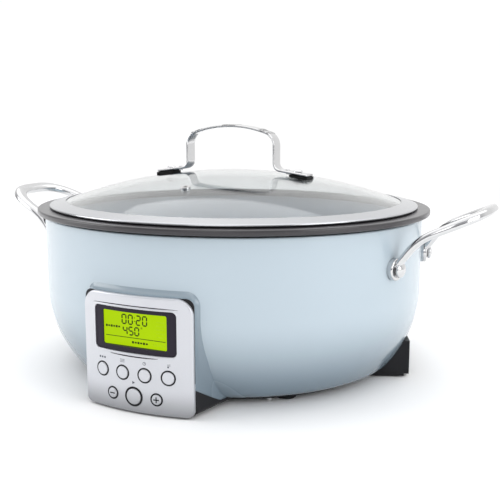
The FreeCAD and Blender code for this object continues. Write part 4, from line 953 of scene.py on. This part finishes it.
class CookerHousing(bpy.types.Operator):
    """Turns the enamelled housing round its oval"""
    bl_idname = "cooker.housing"
    bl_label = "Housing"

    def execute(self, context):
        skin, lip, edge = 2.0 * MM, 0.1675, 1.2 * MM
        knee = (WALL_HALF - WALL_ARC, WALL_KNEE)
        heel = (HEEL_CENTRE_R, HEEL_CENTRE_Z)
        turn = -math.degrees(math.asin((WALL_KNEE - HEEL_START) / WALL_ARC))
        rim = HEEL_CENTRE_R - 6 * MM
        outer = np.concatenate([
            [(lip, WALL_TOP), (WALL_HALF - 2 * edge, WALL_TOP)],
            arc((WALL_HALF - edge, WALL_TOP - edge), edge, 90, 0, 6),
            [(WALL_HALF, WALL_TOP - 2 * edge), (WALL_HALF, (WALL_TOP + WALL_KNEE) / 2)],
            arc(knee, WALL_ARC, 0, turn, 40), arc(heel, HEEL_ARC, turn, -90, 20)[1:], [(rim, WALL_BOTTOM)]])
        inner = np.concatenate([
            [(rim, WALL_BOTTOM + skin)], arc(heel, HEEL_ARC - skin, -90, turn, 12),
            arc(knee, WALL_ARC - skin, turn, 0, 24)[1:],
            [(WALL_HALF - skin, WALL_TOP - skin), (lip, WALL_TOP - skin)]])
        piece = oval_turn("housing_shell", np.concatenate([outer, inner]), finish_of("housing_enamel"),
                          "base", "housing_enamel", 320)
        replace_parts(piece, "outer_housing")
        return {"FINISHED"}


class CookerPot(bpy.types.Operator):
    """Turns the pot: a coated outside and flange, and a grey lining"""
    bl_idname = "cooker.pot"
    bl_label = "Inner pot"

    def execute(self, context):
        mouth, wall, taper, floor, bottom = 0.160, 3.0 * MM, 8.0 * MM, 0.0545, 0.050
        under = FLANGE_TOP - 5.0 * MM
        lining = rounded([(0, floor, 0), (mouth - taper, floor, 21 * MM), (mouth, FLANGE_TOP, 1.8 * MM),
                          (FLANGE_HALF, FLANGE_TOP, 1.5 * MM), (FLANGE_HALF, under, 1.5 * MM),
                          (mouth + wall, under, 1.0 * MM), (mouth + wall - taper, bottom, 24 * MM),
                          (0, bottom, 0)], 12)
        inside = (lining[:, 0] < mouth + 0.2 * MM) & (lining[:, 1] > floor - 0.1 * MM)
        inside &= np.arange(len(lining)) < len(lining) // 2
        piece = oval_turn("pot_turned", lining, [finish_of("pot_coat"), material(pot_lining)], "pot",
                          "pot_coat", 288, False, inside)
        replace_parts(piece, "inner_pot")
        return {"FINISHED"}


class CookerLid(bpy.types.Operator):
    """Turns the domed glass and its steel band, and bends the strap handle"""
    bl_idname = "cooker.lid"
    bl_label = "Lid"

    def execute(self, context):
        shoulder, rim, thick, hollow = 0.163, 0.172, 4.0 * MM, 0.1612
        seat, crest = 0.15505, 0.1576
        out = np.linspace(0, shoulder, 60)
        back = np.linspace(hollow, 0, 56)
        under = DOME_TOP - DOME_RADIUS + np.sqrt((DOME_RADIUS - thick) ** 2 - back ** 2)
        profile = np.concatenate([
            np.column_stack([out, dome_top(out)]),
            [(rim - 0.8 * MM, crest), (rim - 0.2 * MM, crest - 0.2 * MM), (rim, crest - 0.8 * MM),
             (rim, seat + 0.65 * MM), (rim - 0.3 * MM, seat + 0.07 * MM), (rim - 1.2 * MM, seat),
             (shoulder + 0.6 * MM, seat)],
            np.column_stack([back, under])])
        glass = oval_turn("glass_dome", profile, finish_of("lid_glass"), "lid", "lid_glass", 288, False)
        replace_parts(glass, "lid_glass")
        hem, outer, lip, groove, low, floor = 0.1655, 0.1785, 0.1630, 0.1722, 0.1541, 0.1550
        section = rounded([(hem, low, 0.2 * MM), (outer - 2.1 * MM, low, 1.0 * MM),
                           (outer, low + 1.1 * MM, 0.6 * MM), (outer, low + 2.6 * MM, 1.1 * MM),
                           (lip, floor + 5.1 * MM, 0.3 * MM), (lip, floor + 4.3 * MM, 0.2 * MM),
                           (groove, floor + 2.8 * MM, 0.3 * MM), (groove, floor, 0.3 * MM),
                           (hem, floor, 0.2 * MM)], 5)
        band = oval_turn("steel_band", section, finish_of("band_steel"), "lid", "band_steel", 288)
        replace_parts(band, "lid_band")
        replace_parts(welded("lid_strap", lid_strap(), "polished_steel", "lid"), "lid_handle")
        return {"FINISHED"}


class CookerPod(bpy.types.Operator):
    """Builds the pod's flared enamel skin, its black base and a black sheet behind the panel's corners,
    painted shade in the gap there
    """
    bl_idname = "cooker.pod"
    bl_label = "Control pod"

    def execute(self, context):
        fairing = welded("pod_fairing_skin", pod_skin("fairing"), "pod_enamel")
        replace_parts(fairing, "pod_fairing")
        base = welded("pod_base_skin", pod_skin("base"), "black_plastic")
        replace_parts(base, "pod_base")
        for piece in (fairing, base):
            thicken(piece, 1.6 * MM)
        # a black sheet behind the panel's edges: painted shade in the gap between the panel and the fairing
        gap_foot, gap_width, gap_recess = 30 * MM, 6 * MM, 3.2 * MM
        outer = pod_outline("fairing", gap_foot, gap_foot)
        inner = outer.copy()
        inner[:, :2] -= inner[:, 2:] * gap_width
        rows = np.concatenate([outer, inner])
        places = np.column_stack([rows[:, 0], panel_back(rows[:, 0], gap_recess), rows[:, 1]])
        gap = add_mesh("pod_gap_shade_sheet", places, grid_faces(2, len(outer), False, False),
                       finish_of("black_plastic"), "base", False, "black_plastic")
        thicken(gap, 0.8 * MM, 1.0)
        lip_proud, shade_crescent_proud = 0.42 * MM, 0.30 * MM
        welded("window_lips", joined([crescent(0.0893, 0.0410, 1.7 * MM, lip_proud),
                                      crescent(0.0500, 0.0375, 1.9 * MM, lip_proud)]), "panel_silver")
        # dark crescents along the window's lips: painted shade beside the lips
        welded("window_shade_crescents", joined([crescent(0.0904, 0.0405, 0.7 * MM, shade_crescent_proud),
                                         crescent(0.0485, 0.0230, 0.8 * MM, shade_crescent_proud)]), "bezel_plastic")
        return {"FINISHED"}


class CookerSideHandles(bpy.types.Operator):
    """Sweeps the two side loops with their eyelets"""
    bl_idname = "cooker.side_handles"
    bl_label = "Side handles"

    def execute(self, context):
        for name, side in (("right", 1), ("left", -1)):
            parts = [side_loop(side)]
            for centre, outward in eyelets(side):
                edge, face, root, dish = 1.3 * MM, 5.0 * MM, -2.5 * MM, 7.0 * MM
                profile = np.concatenate([[(0, root), (EYELET_RADIUS, root)],
                                          arc((EYELET_RADIUS - edge, face - edge), edge, 0, 90, 7),
                                          [(dish, face), (dish - 0.2 * MM, face - 0.1 * MM),
                                           (0, face - 0.1 * MM)]])
                parts.append(turned_piece(profile, centre, outward, 64))
            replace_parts(welded("loop_" + name, joined(parts), "polished_steel"), "side_handle_" + name)
        studs = []
        for side in (1, -1):
            for centre, outward in eyelets(side):
                collar, head, low, high = 5.2 * MM, 6.4 * MM, 4.7 * MM, 9.0 * MM
                profile = np.concatenate([[(0, low), (collar, low), (collar, 6.2 * MM), (head, 6.4 * MM)],
                                          arc((head - 0.9 * MM, high - 0.9 * MM), 0.9 * MM, 0, 80, 6)])
                crown = np.column_stack([np.linspace(head - 1.3 * MM, 0, 12),
                                         high + 1.5 * MM * (1 - np.linspace(1, 0, 12) ** 2)])
                studs.append(turned_piece(np.concatenate([profile, crown]), centre, outward, 56))
        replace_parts(welded("handle_studs", joined(studs), "polished_steel"), "handle_screws")
        return {"FINISHED"}


class CookerStage(bpy.types.Operator):
    """Lays the pale floor and sets the soft lights and the camera"""
    bl_idname = "cooker.stage"
    bl_label = "Stage"

    def execute(self, context):
        paint = Paint("pale_floor")
        paint.set(base_color=paint.blend(paint.noise(3.0), (0.95, 0.95, 0.95), (0.97, 0.97, 0.97)),
                  roughness=0.7)
        mesh = bpy.data.meshes.new("floor")
        side, front, back = 4.0, -4.0, 1.5
        corners = [(-side, front, 0), (side, front, 0), (side, back, 0), (-side, back, 0)]
        mesh.from_pydata(corners, [], [(0, 1, 2, 3)])
        floor = bpy.data.objects.new("floor", mesh)
        bpy.context.collection.objects.link(floor)
        mesh.materials.append(paint.material)
        sky = Paint("studio", bpy.data.worlds, "Background")
        context.scene.world = sky.material
        way = sky.node("ShaderNodeTexCoord", output="Generated")
        depth = sky.node("ShaderNodeSeparateXYZ", {}, {0: way}, output=1)
        behind = sky.node("ShaderNodeMapRange", {"interpolation_type": "SMOOTHSTEP"},
                          {0: depth, 1: -0.1, 2: 0.6, 3: 0.0, 4: 1.0})
        height = sky.node("ShaderNodeSeparateXYZ", {}, {0: way}, output=2)
        band = sky.node("ShaderNodeMapRange", {"interpolation_type": "SMOOTHSTEP"},
                        {0: height, 1: 0.02, 2: 0.30, 3: 0.0, 4: 1.0})
        room = sky.blend(band, (0.17, 0.175, 0.19), (0.50, 0.505, 0.52))
        sky.set(color=sky.blend(behind, room, (1.02, 1.02, 1.02)))
        for name, place, size, power in (  # metres and watts
                ("top_softbox", (0.0, 0.4, 6.0), 12.0, 360.0),
                ("left_softbox", (-1.9, -0.9, 0.9), 1.3, 17.0),
                ("right_softbox", (2.0, -0.5, 0.8), 1.2, 15.0),
                ("front_softbox", (0.5, -2.4, 1.2), 1.2, 8.5)):
            data = bpy.data.lights.new(name, "AREA")
            data.shape, data.size, data.energy = "SQUARE", size, power
            light = bpy.data.objects.new(name, data)
            bpy.context.collection.objects.link(light)
            aim(light, place, (0, 0, 0.1))
        camera = bpy.data.objects.new("camera", bpy.data.cameras.new("camera"))
        bpy.context.collection.objects.link(camera)
        camera.data.lens, camera.data.sensor_width = 59.41, 36.0
        target = np.array([0.0188, 0.0014, 0.1094])
        away = np.array([0.3420, -0.7190, 0.1361])
        away *= sizes().camera_distance / np.linalg.norm(away)
        aim(camera, target + away, target)
        context.scene.camera = camera
        context.scene.view_settings.view_transform = "Standard"
        return {"FINISHED"}


def aim(thing, place, target):
    """Puts a lamp or camera at a place, looking at a target with no roll."""
    place, target = Vector([float(v) for v in place]), Vector([float(v) for v in target])
    thing.location = place
    thing.rotation_euler = (target - place).to_track_quat("-Z", "Y").to_euler()


class CookerPanel(bpy.types.Panel):
    """Lists the cooker's pieces, sizes and colours"""
    bl_idname = "VIEW3D_PT_slow_cooker"
    bl_label = "Slow cooker"
    bl_space_type = "VIEW_3D"
    bl_region_type = "UI"
    bl_category = "Slow cooker"

    def draw(self, context):
        for group in (context.scene.cooker_sizes, context.scene.cooker_colours):
            for name in group.__annotations__:
                self.layout.prop(group, name)
        for operator in OPERATORS:
            self.layout.operator(operator.bl_idname)


OPERATORS = (CookerFinishes, CookerHousing, CookerPot, CookerLid, CookerPod, CookerSideHandles, CookerScreen,
             CookerButtons, CookerStage)
CLASSES = (CookerSizes, CookerColours) + OPERATORS + (CookerPanel,)


def register():
    for one in CLASSES:
        bpy.utils.register_class(one)
    bpy.types.Scene.cooker_sizes = PointerProperty(type=CookerSizes)
    bpy.types.Scene.cooker_colours = PointerProperty(type=CookerColours)


def unregister():
    del bpy.types.Scene.cooker_sizes, bpy.types.Scene.cooker_colours
    for one in reversed(CLASSES):
        bpy.utils.unregister_class(one)


def main():
    register()
    for operator in OPERATORS:
        getattr(bpy.ops.cooker, operator.bl_idname.split(".")[1])()


if __name__ == "__main__":
    main()
